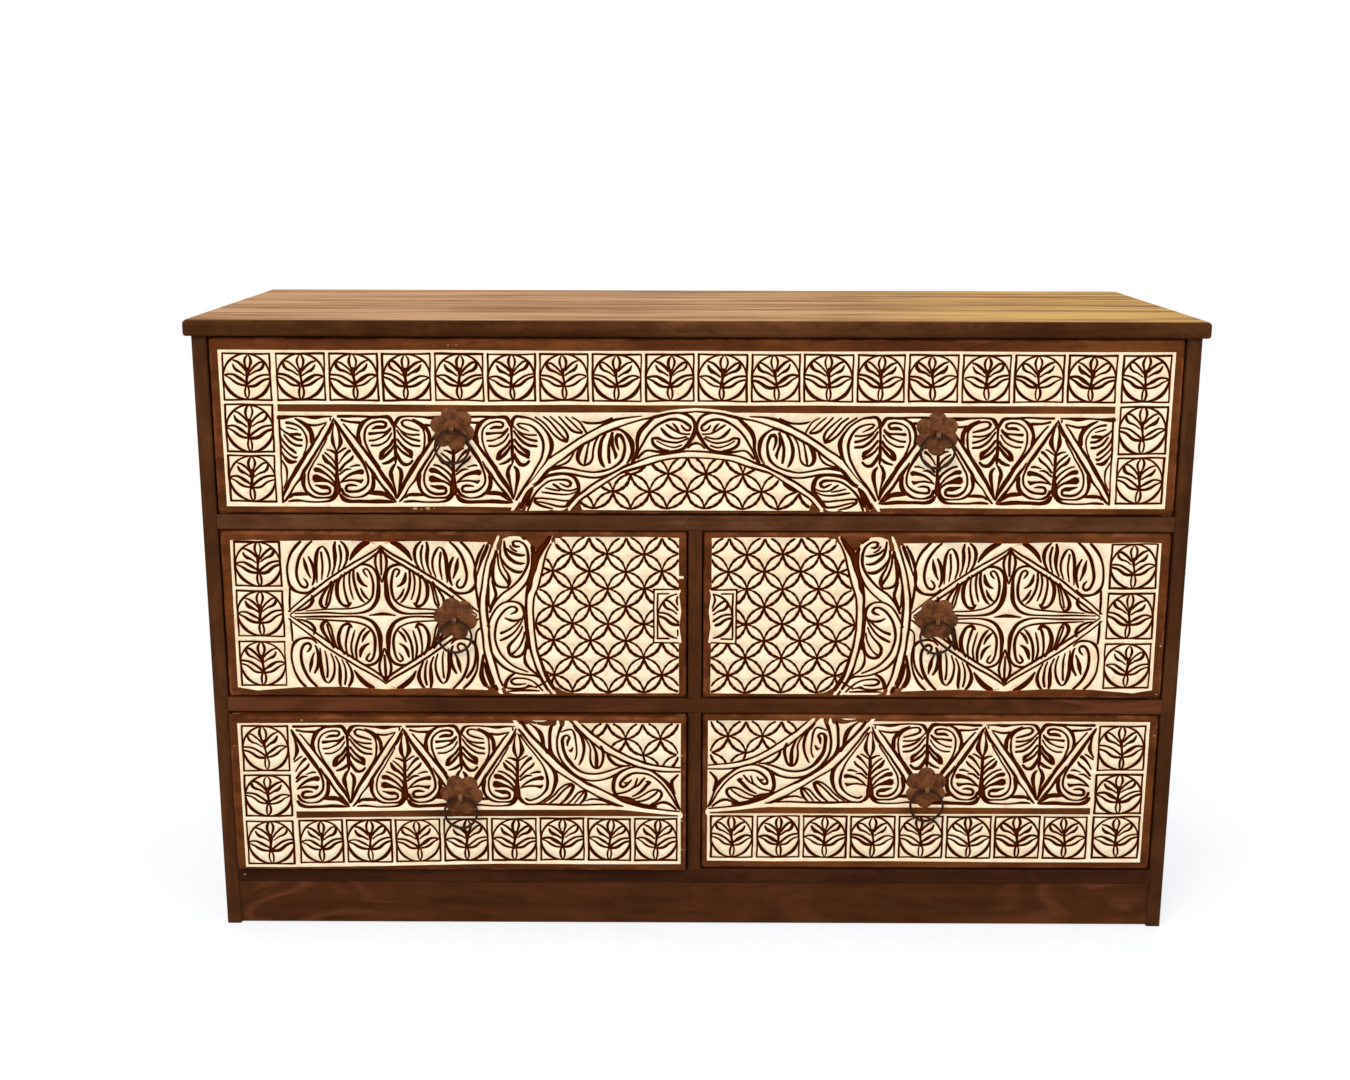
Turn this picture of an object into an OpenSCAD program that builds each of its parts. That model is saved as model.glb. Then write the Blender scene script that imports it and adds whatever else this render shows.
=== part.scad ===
// Chest of five drawers in solid wood, 1220 mm wide, 430 mm deep and 779 mm high.
// One full-width drawer stands over two pairs. Each drawer front is inset in the case and has
// iron ring pulls: a domed six-petal plate, a split-pin staple through the front, and a free ring.
// X runs to the right along the front, Y runs from front to back, Z is up, in millimetres.
// The origin is on the floor, at the middle of the whole chest's box.

/* [Case] */
// Width over the two side panels
case_w = 1204; // [900:2:1600]
// Thickness of each side panel
side_t = 18; // [15:1:25]
// Thickness of the rails between the rows of drawers
rail_t = 19; // [15:1:25]
// Depth of a front rail, from front to back
rail_d = 60; // [50:1:80]
// Depth of a back rail, from front to back
back_rail_d = 40; // [25:1:60]
// Thickness of the upright panel between two paired drawers
divider_t = 17; // [14:1:25]
// Radius on the front edges of sides, rails and dividers
case_ease = 2.5; // [1:0.5:4]
// Thickness of the back panel
back_t = 6; // [4:1:9]
// Width of the rebate in each side panel that holds the back panel
back_rebate = 9; // [5:1:12]
// Length of the rails' tenons
tenon_l = 8; // [5:1:12]
// Shoulder above and below a rail's tenon
tenon_shoulder = 4; // [2:0.5:6]

/* [Kickboard] */
// Height of the kickboard's top edge over the floor
plinth_h = 58; // [40:1:120]
// Thickness of the kickboard
plinth_t = 18; // [12:1:25]
// How far the kickboard stands behind the case's front plane
plinth_recess = 3; // [0:0.5:20]
// Gap between the kickboard and the floor
plinth_lift = 1.5; // [0.5:0.5:6]

/* [Top board] */
// Thickness of the top board
top_t = 21; // [16:1:32]
// Overhang of the top board in front of the case
top_over_front = 12; // [9:1:30]
// Overhang of the top board at each side
top_over_side = 8; // [6:1:30]
// Radius of the top board's upper edge
top_round_upper = 10; // [3:1:10]
// Radius of the top board's lower edge
top_round_lower = 6; // [2:1:6]
// Radius of the top board's front corners, seen from above
top_corner_r = 9; // [6:1:20]
// Depth of the housings under the top board that take the side panels
housing_d = 5; // [3:1:8]
// Distance from the case's front plane to the start of a housing
housing_stop = 15; // [8:1:40]

/* [Drawer openings] */
// Height of the top drawer's opening
top_row_h = 218; // [150:1:260]
// Height of the middle drawers' openings
middle_row_h = 215; // [150:1:260]
// Height of the bottom drawers' openings
bottom_row_h = 210; // [150:1:260]
// Width of a runner strip beside the case's side or the divider
runner_w = 20; // [18:1:35]
// Length of a stop block along the front rail
stop_l = 40; // [20:1:60]
// Width of a stop block from front to back
stop_w = 18; // [10:1:20]
// Height of a stop block
stop_h = 6; // [4:0.5:8]
// Distance of a stop block's middle from the end of its opening
stop_in = 80; // [50:1:110]

/* [Drawers] */
// Thickness of a drawer front
front_t = 20; // [17:1:26]
// Radius on a drawer front's face edges
front_ease = 2.5; // [1:0.5:4]
// Gap around a drawer front in its opening
front_gap = 1.5; // [1:0.25:2]
// Gap between a drawer's side and the case
side_gap = 2.5; // [2:0.25:4]
// Gap between a drawer's side and the runner under it
runner_gap = 0.3; // [0.2:0.05:0.6]
// Gap above a drawer's side
headroom = 4; // [3:0.5:10]
// Gap between a closed drawer front and its stop blocks
stop_gap = 0.3; // [0.2:0.05:0.6]
// Length of a drawer from its face to the end of its sides
drawer_l = 392; // [300:1:560]
// Space between the end of a closed drawer and the back panel
behind_drawer = 20; // [2:1:60]
// Thickness of a drawer's sides
box_side_t = 12; // [10:1:14]
// Thickness of a drawer's back
box_back_t = 12; // [10:1:15]
// Distance from the end of a drawer's sides to its back
box_back_in = 8; // [4:1:20]
// Thickness of a drawer's base
base_t = 5; // [4:0.5:8]
// Height of a drawer's base over the lower edge of its sides
base_up = 10; // [9:0.5:16]
// Depth of the grooves and dados in a drawer
groove_d = 5; // [3:0.5:6]
// Gap between the edge of the base and the end of its groove
base_play = 0.5; // [0.2:0.1:1]
// Thickness of a front's lip in front of the drawer's sides
lip_t = 8; // [6:0.5:10]
// How far the bottom left drawer stands open
ajar = 11; // [0:1:30]

/* [Pulls] */
// How far a pull stands towards the middle of the chest from its drawer's centre line
pull_in = 2; // [0:0.5:20]
// How far the top row's pulls lie under their drawer's middle height
top_pull_drop = 4; // [-20:1:40]
// How far the middle row's pulls lie under their drawers' middle height
middle_pull_drop = 4; // [-20:1:40]
// How far the bottom row's pulls lie over their drawers' middle height
bottom_pull_rise = 5; // [-40:1:20]
// Distance from the middle of a plate to the middle of a petal
petal_out = 17.5; // [15:0.5:20]
// Radius of a petal's round end
petal_r = 10; // [9:0.5:11]
// Height of a plate's dome
dome_h = 4.5; // [3:0.5:6]
// Thickness of a plate's iron
plate_t = 1.2; // [0.8:0.1:2]
// Radius of the creases between petals
crease_r = 1.4; // [0.8:0.1:2]
// Depth of the creases between petals
crease_d = 0.7; // [0.3:0.05:0.75]
// Radius of a ring, to the middle of its wire
ring_r = 20.5; // [16:0.5:30]
// Radius of a ring's wire
wire_r = 1.5; // [1:0.1:2]
// Radius of the hole through a staple's eye
eye_hole_r = 2.4; // [2.4:0.1:3]
// Thickness of the iron round a staple's eye
eye_wall = 2.4; // [1.5:0.1:3]
// Width of a staple's eye
eye_w = 5; // [3:0.5:6]
// Gap between a ring's wire and the bottom of its eye
ring_gap = 0.4; // [0.3:0.05:0.5]
// Radius of a staple's shank
shank_r = 2.2; // [1.5:0.1:2.5]
// Gap around the shank in the plate and the front
shank_play = 0.2; // [0.1:0.05:0.4]
// Width of the slit between a staple's two legs
slit_w = 0.6; // [0.4:0.1:1]
// Length of a leg's bent end behind the front
leg_l = 14; // [8:1:20]
// Thickness of a leg's bent end
leg_t = 1.8; // [1:0.1:2]

/* [Hidden] */
$fn = 48;

// Drawers by number, and their rows counted from the floor
TOP = 0;
MIDDLE_LEFT = 1;
MIDDLE_RIGHT = 2;
BOTTOM_LEFT = 3;
BOTTOM_RIGHT = 4;
DRAWERS = [TOP, MIDDLE_LEFT, MIDDLE_RIGHT, BOTTOM_LEFT, BOTTOM_RIGHT];
PETALS = 6;
LEFT = -1;
RIGHT = 1;

// How far each plate was turned when it was fixed, anticlockwise, left then right
plate_turns = [[12, 0], [18], [29], [25], [0]];
// How far each pull was set by hand from its place, to the right and up, left then right
hand_set = [[[1, 2], [-4, -2]], [[-2, 0]], [[4, 1]], [[1, -4.5]], [[-1, 2.5]]];

// Heights of the rails' lower faces over the floor, and of the top board's
rail_bottom_z = plinth_h;
rail_lower_z = rail_bottom_z + rail_t + bottom_row_h;
rail_upper_z = rail_lower_z + rail_t + middle_row_h;
top_z = rail_upper_z + rail_t + top_row_h;
rail_levels = [rail_bottom_z, rail_lower_z, rail_upper_z];
row_heights = [bottom_row_h, middle_row_h, top_row_h];

inner_x = case_w / 2 - side_t;

// The case is as deep as its drawers need, with the space behind them and the back panel
inner_d = drawer_l + behind_drawer;
case_d = inner_d + back_t;
runner_l = inner_d - back_rail_d - rail_d;

// A staple's eye rests on the crown of its plate
eye_r = eye_hole_r + eye_wall;
eye_out = dome_h + eye_r;
pull_proud = eye_out + eye_r;
eye_drop = eye_hole_r - wire_r - ring_gap;
front_most = max(top_over_front, ajar + pull_proud);
middle_y = (case_d - front_most) / 2;

// Cuts run this far past the faces that they open
past = 1;

function row(i) = i == TOP ? 2 : (i <= MIDDLE_RIGHT ? 1 : 0);
function is_left(i) = i == MIDDLE_LEFT || i == BOTTOM_LEFT;
function open_x0(i) = i == TOP || is_left(i) ? -inner_x : divider_t / 2;
function open_x1(i) = i == TOP || !is_left(i) ? inner_x : -divider_t / 2;
function open_w(i) = open_x1(i) - open_x0(i);
function open_z(i) = rail_levels[row(i)] + rail_t;
function open_h(i) = row_heights[row(i)];
function stands_out(i) = i == BOTTOM_LEFT ? ajar : 0;
function box_w(i) = open_w(i) - 2 * side_gap;
function box_h(i) = open_h(i) - runner_gap - headroom;

pull_x = (inner_x + divider_t / 2) / 2 - pull_in;
pull_drops = [-bottom_pull_rise, middle_pull_drop, top_pull_drop];
function pull_places(i) = i == TOP ? [-pull_x, pull_x] : [is_left(i) ? -pull_x : pull_x];
pull_numbers = [[0, 1], [0], [0], [0], [0]];

// Middle of pull k of drawer i, right of the chest's middle and over the floor
function pull_at(i, k) =
  [pull_places(i)[k], open_z(i) + open_h(i) / 2 - pull_drops[row(i)]] + hand_set[i][k];

WALNUT = "#4a2a18";
WALNUT_TOP = "#7a5238";
CARVED = "#d9bd98";
BARE_WOOD = "#b08a5e";
IRON = "#3a2318";
TAN_IRON = "#8a6440";

// Flat profile whose corners at +Y are rounded by r_far and those at -Y by r_near
module eased_profile(w, h, r_near, r_far) {
  difference() {
    translate([-w / 2, 0]) square([w, h]);
    for (side = [LEFT, RIGHT]) {
      if (r_near > 0) corner_cut(side * w / 2, 0, -side, 1, r_near);
      if (r_far > 0) corner_cut(side * w / 2, h, -side, -1, r_far);
    }
  }
}

// What a rounded corner at (x, y) takes away; the signs point into the profile
module corner_cut(x, y, sign_x, sign_y, r) {
  difference() {
    translate([x - past * sign_x, y - past * sign_y])
      scale_corner(sign_x, sign_y) square([r + past, r + past]);
    translate([x + r * sign_x, y + r * sign_y]) circle(r);
  }
}

module scale_corner(sign_x, sign_y) {
  mirror([sign_x < 0 ? 1 : 0, 0]) mirror([0, sign_y < 0 ? 1 : 0]) children();
}

// Board of w by t in plan, h high, standing on Z 0, its two front upright edges eased
module upright_board(w, t, h) {
  linear_extrude(h) eased_profile(w, t, case_ease, 0);
}

// Board l along X from the middle, d deep and t thick, its two long front edges eased
module lying_board(l, d, t) {
  translate([-l / 2, 0, t / 2]) rotate([0, 90, 0])
    linear_extrude(l) eased_profile(t, d, case_ease, 0);
}

module in_chest() translate([0, -middle_y, 0]) children();

// Frame of one drawer: X 0 at its middle, Y 0 on its face, Z 0 on its rail
module in_drawer(i) {
  in_chest()
    translate([(open_x0(i) + open_x1(i)) / 2, -stands_out(i), open_z(i)]) children();
}

// Frame of pull k of a drawer: X 0 and Z 0 at its middle, Y 0 on the drawer's face
module at_pull(i, k) {
  in_chest() translate([pull_at(i, k)[0], -stands_out(i), pull_at(i, k)[1]]) children();
}

module top_board() {
  w = case_w + 2 * top_over_side;
  d = case_d + top_over_front;
  color(WALNUT_TOP) in_chest() translate([0, -top_over_front, top_z]) difference() {
    intersection() {
      translate([0, d, 0]) rotate([90, 0, 0])
        linear_extrude(d) eased_profile(w, top_t, top_round_lower, top_round_upper);
      translate([-w / 2, 0, 0]) rotate([90, 0, 90]) linear_extrude(w) top_end_profile(d);
      linear_extrude(top_t) eased_profile(w, d, top_corner_r, 0);
    }
    for (side = [LEFT, RIGHT]) translate([side * (case_w - side_t) / 2, 0, 0])
      translate([-side_t / 2, top_over_front + housing_stop, -past])
        cube([side_t, case_d - housing_stop + past, housing_d + past]);
  }
}

// The top board seen from its end: rounded at the front and square at the back
module top_end_profile(d) {
  difference() {
    square([d, top_t]);
    corner_cut(0, 0, 1, 1, top_round_lower);
    corner_cut(0, top_t, 1, -1, top_round_upper);
  }
}

// A side panel with its tongue for the top board, mortises for the rails and rebate for the back
module side_panel(side) {
  color(WALNUT) in_chest() translate([side * (case_w - side_t) / 2, 0, 0]) difference() {
    union() {
      upright_board(side_t, case_d, top_z);
      translate([-side_t / 2, housing_stop, top_z - past])
        cube([side_t, case_d - housing_stop, housing_d + past]);
    }
    for (z = rail_levels) {
      mortise(side, z, 0, rail_d);
      mortise(side, z, inner_d - back_rail_d, back_rail_d);
    }
    translate([side > 0 ? -side_t / 2 - past : side_t / 2 - back_rebate, inner_d, plinth_h])
      cube([back_rebate + past, back_t + past, top_z - plinth_h]);
  }
}

// Slot in the inner face of a side panel for the tenon of a rail d deep that starts at y
module mortise(side, z, y, d) {
  translate([side > 0 ? -side_t / 2 - past : side_t / 2 - tenon_l,
             y + 2 * tenon_shoulder, z + tenon_shoulder])
    cube([tenon_l + past, d - 4 * tenon_shoulder, rail_t - 2 * tenon_shoulder]);
}

// A rail between the side panels, d deep from y, with a tenon at each end
module rail(z, y, d) {
  color(WALNUT) in_chest() translate([0, y, z]) {
    lying_board(2 * inner_x, d, rail_t);
    translate([-inner_x - tenon_l, 2 * tenon_shoulder, tenon_shoulder])
      cube([2 * (inner_x + tenon_l), d - 4 * tenon_shoulder, rail_t - 2 * tenon_shoulder]);
  }
}

module front_rail(level) rail(rail_levels[level], 0, rail_d);

module back_rail(level) rail(rail_levels[level], inner_d - back_rail_d, back_rail_d);

module back_panel() {
  color(BARE_WOOD) in_chest() translate([-inner_x - back_rebate, inner_d, plinth_h])
    cube([2 * (inner_x + back_rebate), back_t, top_z - plinth_h]);
}

module plinth_board() {
  color(WALNUT) in_chest() translate([-inner_x, plinth_recess, plinth_lift])
    cube([2 * inner_x, plinth_t, plinth_h - plinth_lift]);
}

// The upright panel between the two drawers of a row
module divider(row) {
  color(WALNUT) in_chest() translate([0, 0, rail_levels[row] + rail_t])
    upright_board(divider_t, inner_d, row_heights[row]);
}

// Strips along one side panel, one at each rail level, that carry the drawers' sides
module side_runners(side) {
  color(BARE_WOOD) in_chest() for (z = rail_levels)
    translate([side > 0 ? inner_x - runner_w : -inner_x, rail_d, z])
      cube([runner_w, runner_l, rail_t]);
}

// Wide strips under the dividers, which carry the inner sides of the paired drawers
module centre_runners() {
  w = divider_t + 2 * runner_w;
  color(BARE_WOOD) in_chest() for (z = rail_levels)
    translate([-w / 2, rail_d, z]) cube([w, runner_l, rail_t]);
}

// Two blocks behind each drawer's front, glued on the rail under it
module drawer_stops() {
  color(BARE_WOOD) in_chest() for (i = DRAWERS, x = [open_x0(i) + stop_in, open_x1(i) - stop_in])
    translate([x - stop_l / 2, front_t + stop_gap, open_z(i)]) cube([stop_l, stop_w, stop_h]);
}

// A front with rounded face edges, end rebates for the sides and a groove for the base
module drawer_front(i) {
  w = open_w(i) - 2 * front_gap;
  h = open_h(i) - 2 * front_gap;
  color(CARVED) difference() {
    in_drawer(i) intersection() {
      translate([0, 0, front_gap])
        linear_extrude(h) eased_profile(w, front_t, front_ease, 0);
      translate([-w / 2, 0, front_gap + h / 2]) rotate([0, 90, 0])
        linear_extrude(w) eased_profile(h, front_t, front_ease, 0);
    }
    for (side = [LEFT, RIGHT]) in_drawer(i) translate([side * open_w(i) / 2, lip_t, 0])
      translate([side > 0 ? -side_gap - box_side_t : -past, 0, -past])
        cube([side_gap + box_side_t + past, front_t, open_h(i) + 2 * past]);
    in_drawer(i) translate([-w / 2, front_t - groove_d, runner_gap + base_up])
      cube([w, groove_d + past, base_t]);
    for (k = pull_numbers[i]) at_pull(i, k) translate([0, -past, 0])
      rotate([-90, 0, 0]) cylinder(r = shank_r + shank_play, h = front_t + 2 * past);
  }
}

// A drawer's side with a groove for the base and a dado for the back
module drawer_side(i, side) {
  color(BARE_WOOD) in_drawer(i)
    translate([side * (box_w(i) - box_side_t) / 2, 0, runner_gap]) difference() {
      translate([-box_side_t / 2, lip_t, 0]) cube([box_side_t, drawer_l - lip_t, box_h(i)]);
      translate([side > 0 ? -box_side_t / 2 - past : box_side_t / 2 - groove_d, 0, base_up])
        cube([groove_d + past, drawer_l + past, base_t]);
      translate([side > 0 ? -box_side_t / 2 - past : box_side_t / 2 - groove_d,
                 drawer_l - box_back_in - box_back_t, base_up + base_t])
        cube([groove_d + past, box_back_t, box_h(i)]);
    }
}

// A drawer's back, standing on the base between the two dados
module drawer_back(i) {
  w = box_w(i) - 2 * box_side_t + 2 * groove_d;
  color(BARE_WOOD) in_drawer(i)
    translate([-w / 2, drawer_l - box_back_in - box_back_t, runner_gap + base_up + base_t])
      cube([w, box_back_t, box_h(i) - base_up - base_t]);
}

// A drawer's base, slid into its grooves from behind, under the back
module drawer_base(i) {
  w = box_w(i) - 2 * box_side_t + 2 * (groove_d - base_play);
  start = front_t - groove_d + base_play;
  color(BARE_WOOD) in_drawer(i) translate([-w / 2, start, runner_gap + base_up])
    cube([w, drawer_l - box_back_in - start, base_t]);
}

// The outline of a plate: six round petals about a round middle
module petals() {
  for (k = [0 : PETALS - 1]) rotate(90 + k * 360 / PETALS) translate([petal_out, 0]) circle(petal_r);
  circle(petal_out);
}

// A domed plate with petals, pressed from sheet iron, its crown towards +Z
module plate() {
  rise = dome_h - plate_t;
  rim_r = petal_out + petal_r;
  ball_r = (rim_r * rim_r + rise * rise) / (2 * rise);
  difference() {
    intersection() {
      linear_extrude(dome_h + past) petals();
      translate([0, 0, dome_h - ball_r]) sphere(ball_r, $fn = 96);
    }
    translate([0, 0, rise - ball_r]) sphere(ball_r, $fn = 96);
    for (k = [0 : PETALS - 1]) rotate(90 + (k + 0.5) * 360 / PETALS) crease(ball_r);
    translate([0, 0, -past]) cylinder(r = shank_r + shank_play, h = dome_h + 2 * past);
  }
}

// Valley between two petals, a shallow round cut that dips with the dome
module crease(ball_r) {
  inner = petal_out / 2;
  outer = petal_out + petal_r / 2;
  slope = atan2(dome_z(inner, ball_r) - dome_z(outer, ball_r), outer - inner);
  translate([inner, 0, dome_z(inner, ball_r) + crease_r - crease_d]) rotate([0, 90 + slope, 0])
    cylinder(r = crease_r, h = petal_out + petal_r);
}

// Height of the dome's outer face at a distance from its middle
function dome_z(r, ball_r) = dome_h - ball_r + sqrt(ball_r * ball_r - r * r);

module pull_plates(i) {
  color(IRON) for (k = pull_numbers[i]) at_pull(i, k)
    rotate([90, 0, 0]) rotate(plate_turns[i][k]) plate();
}

// A split pin: an upright eye in front of the plate, a slit shank through the front,
// and two ends bent up and down against the inside
module staple() {
  difference() {
    union() {
      translate([-eye_w / 2, -eye_out, 0]) rotate([0, 90, 0]) cylinder(r = eye_r, h = eye_w);
      translate([0, -eye_out + eye_hole_r, 0]) rotate([-90, 0, 0])
        cylinder(r = shank_r, h = eye_out - eye_hole_r + front_t + leg_t);
      translate([-shank_r, front_t, -leg_l]) cube([2 * shank_r, leg_t, 2 * leg_l]);
    }
    translate([-eye_w / 2 - past, -eye_out, 0]) rotate([0, 90, 0])
      cylinder(r = eye_hole_r, h = eye_w + 2 * past);
    translate([-eye_w, -dome_h, -slit_w / 2])
      cube([2 * eye_w, dome_h + front_t + leg_t + past, slit_w]);
  }
}

module pull_staples(i) {
  color(TAN_IRON) for (k = pull_numbers[i]) at_pull(i, k) staple();
}

// A free ring that hangs in the staple's eye
module pull_ring(i, k) {
  color(IRON) at_pull(i, k) translate([0, -eye_out, -eye_drop - ring_r]) rotate([90, 0, 0])
    rotate_extrude() translate([ring_r, 0]) circle(wire_r);
}

top_board();
side_panel(LEFT);  // side_panel_left
side_panel(RIGHT);  // side_panel_right
back_panel();
plinth_board();
front_rail(2);  // rail_upper
front_rail(1);  // rail_lower
front_rail(0);  // rail_bottom
back_rail(2);  // back_rail_upper
back_rail(1);  // back_rail_lower
back_rail(0);  // back_rail_bottom
divider(1);  // divider_middle
divider(0);  // divider_bottom
side_runners(LEFT);  // runners_left
side_runners(RIGHT);  // runners_right
centre_runners();  // runners_centre
drawer_stops();
drawer_front(TOP);  // top_front
drawer_side(TOP, LEFT);  // top_side_left
drawer_side(TOP, RIGHT);  // top_side_right
drawer_back(TOP);  // top_back
drawer_base(TOP);  // top_base
drawer_front(MIDDLE_LEFT);  // middle_left_front
drawer_side(MIDDLE_LEFT, LEFT);  // middle_left_side_left
drawer_side(MIDDLE_LEFT, RIGHT);  // middle_left_side_right
drawer_back(MIDDLE_LEFT);  // middle_left_back
drawer_base(MIDDLE_LEFT);  // middle_left_base
drawer_front(MIDDLE_RIGHT);  // middle_right_front
drawer_side(MIDDLE_RIGHT, LEFT);  // middle_right_side_left
drawer_side(MIDDLE_RIGHT, RIGHT);  // middle_right_side_right
drawer_back(MIDDLE_RIGHT);  // middle_right_back
drawer_base(MIDDLE_RIGHT);  // middle_right_base
drawer_front(BOTTOM_LEFT);  // bottom_left_front
drawer_side(BOTTOM_LEFT, LEFT);  // bottom_left_side_left
drawer_side(BOTTOM_LEFT, RIGHT);  // bottom_left_side_right
drawer_back(BOTTOM_LEFT);  // bottom_left_back
drawer_base(BOTTOM_LEFT);  // bottom_left_base
drawer_front(BOTTOM_RIGHT);  // bottom_right_front
drawer_side(BOTTOM_RIGHT, LEFT);  // bottom_right_side_left
drawer_side(BOTTOM_RIGHT, RIGHT);  // bottom_right_side_right
drawer_back(BOTTOM_RIGHT);  // bottom_right_back
drawer_base(BOTTOM_RIGHT);  // bottom_right_base
pull_plates(TOP);  // top_plates
pull_plates(MIDDLE_LEFT);  // middle_left_plate
pull_plates(MIDDLE_RIGHT);  // middle_right_plate
pull_plates(BOTTOM_LEFT);  // bottom_left_plate
pull_plates(BOTTOM_RIGHT);  // bottom_right_plate
pull_staples(TOP);  // top_staples
pull_staples(MIDDLE_LEFT);  // middle_left_staple
pull_staples(MIDDLE_RIGHT);  // middle_right_staple
pull_staples(BOTTOM_LEFT);  // bottom_left_staple
pull_staples(BOTTOM_RIGHT);  // bottom_right_staple
pull_ring(TOP, 0);  // top_ring_left
pull_ring(TOP, 1);  // top_ring_right
pull_ring(MIDDLE_LEFT, 0);  // middle_left_ring
pull_ring(MIDDLE_RIGHT, 0);  // middle_right_ring
pull_ring(BOTTOM_LEFT, 0);  // bottom_left_ring
pull_ring(BOTTOM_RIGHT, 0);  // bottom_right_ring
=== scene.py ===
import math
import random

import bmesh
import bpy
import numpy as np
from mathutils import Matrix, Vector
from mathutils.geometry import delaunay_2d_cdt


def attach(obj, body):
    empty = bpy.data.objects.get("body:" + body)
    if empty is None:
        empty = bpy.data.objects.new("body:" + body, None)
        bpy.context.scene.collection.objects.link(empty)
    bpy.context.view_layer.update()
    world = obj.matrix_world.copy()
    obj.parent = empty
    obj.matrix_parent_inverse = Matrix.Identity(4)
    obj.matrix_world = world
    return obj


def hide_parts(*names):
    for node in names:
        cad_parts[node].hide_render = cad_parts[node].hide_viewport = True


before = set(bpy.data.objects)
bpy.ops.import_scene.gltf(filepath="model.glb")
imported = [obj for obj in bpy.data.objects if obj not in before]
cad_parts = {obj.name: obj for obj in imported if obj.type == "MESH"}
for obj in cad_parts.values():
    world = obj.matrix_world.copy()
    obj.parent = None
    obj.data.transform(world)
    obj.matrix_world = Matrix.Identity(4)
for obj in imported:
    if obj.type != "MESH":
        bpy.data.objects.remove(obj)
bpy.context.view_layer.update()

MM = 0.001

# Shader trees


def srgb(code):
    """A written colour, such as '4a2a18', as the linear values that Blender takes."""
    out = []
    for i in (0, 2, 4):
        c = int(code[i:i + 2], 16) / 255
        out.append(c / 12.92 if c <= 0.04045 else ((c + 0.055) / 1.055) ** 2.4)
    return tuple(out) + (1.0,)


class Tree:
    """A node tree, with short calls for the nodes used here."""

    def __init__(self, tree):
        self.tree = tree
        tree.nodes.clear()

    def new(self, kind, **values):
        node = self.tree.nodes.new(kind)
        for key, value in values.items():
            setattr(node, key, value)
        return node

    def link(self, a, b):
        self.tree.links.new(a, b)

    def put(self, socket, value):
        if isinstance(value, bpy.types.NodeSocket):
            self.link(value, socket)
        else:
            socket.default_value = value

    def math(self, op, a, b=0.0):
        node = self.new("ShaderNodeMath", operation=op)
        self.put(node.inputs[0], a)
        self.put(node.inputs[1], b)
        return node.outputs[0]

    def times(self, a, b):
        return self.math("MULTIPLY", a, b)

    def total(self, *parts):
        """The sum of some values, each times its share."""
        out, *others = [self.times(value, share) for value, share in parts]
        for other in others:
            out = self.math("ADD", out, other)
        return out

    def seen(self):
        """1 for a ray that shows the studio itself: from the camera, off a mirror or through glass."""
        ray = self.new("ShaderNodeLightPath").outputs
        others = self.math("MAXIMUM", ray["Is Glossy Ray"], ray["Is Transmission Ray"])
        return self.math("MAXIMUM", ray["Is Camera Ray"], others)

    def mix_shaders(self, factor, a, b):
        node = self.new("ShaderNodeMixShader")
        self.put(node.inputs[0], factor)
        self.link(a.outputs[0], node.inputs[1])
        self.link(b.outputs[0], node.inputs[2])
        return node.outputs[0]


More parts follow.
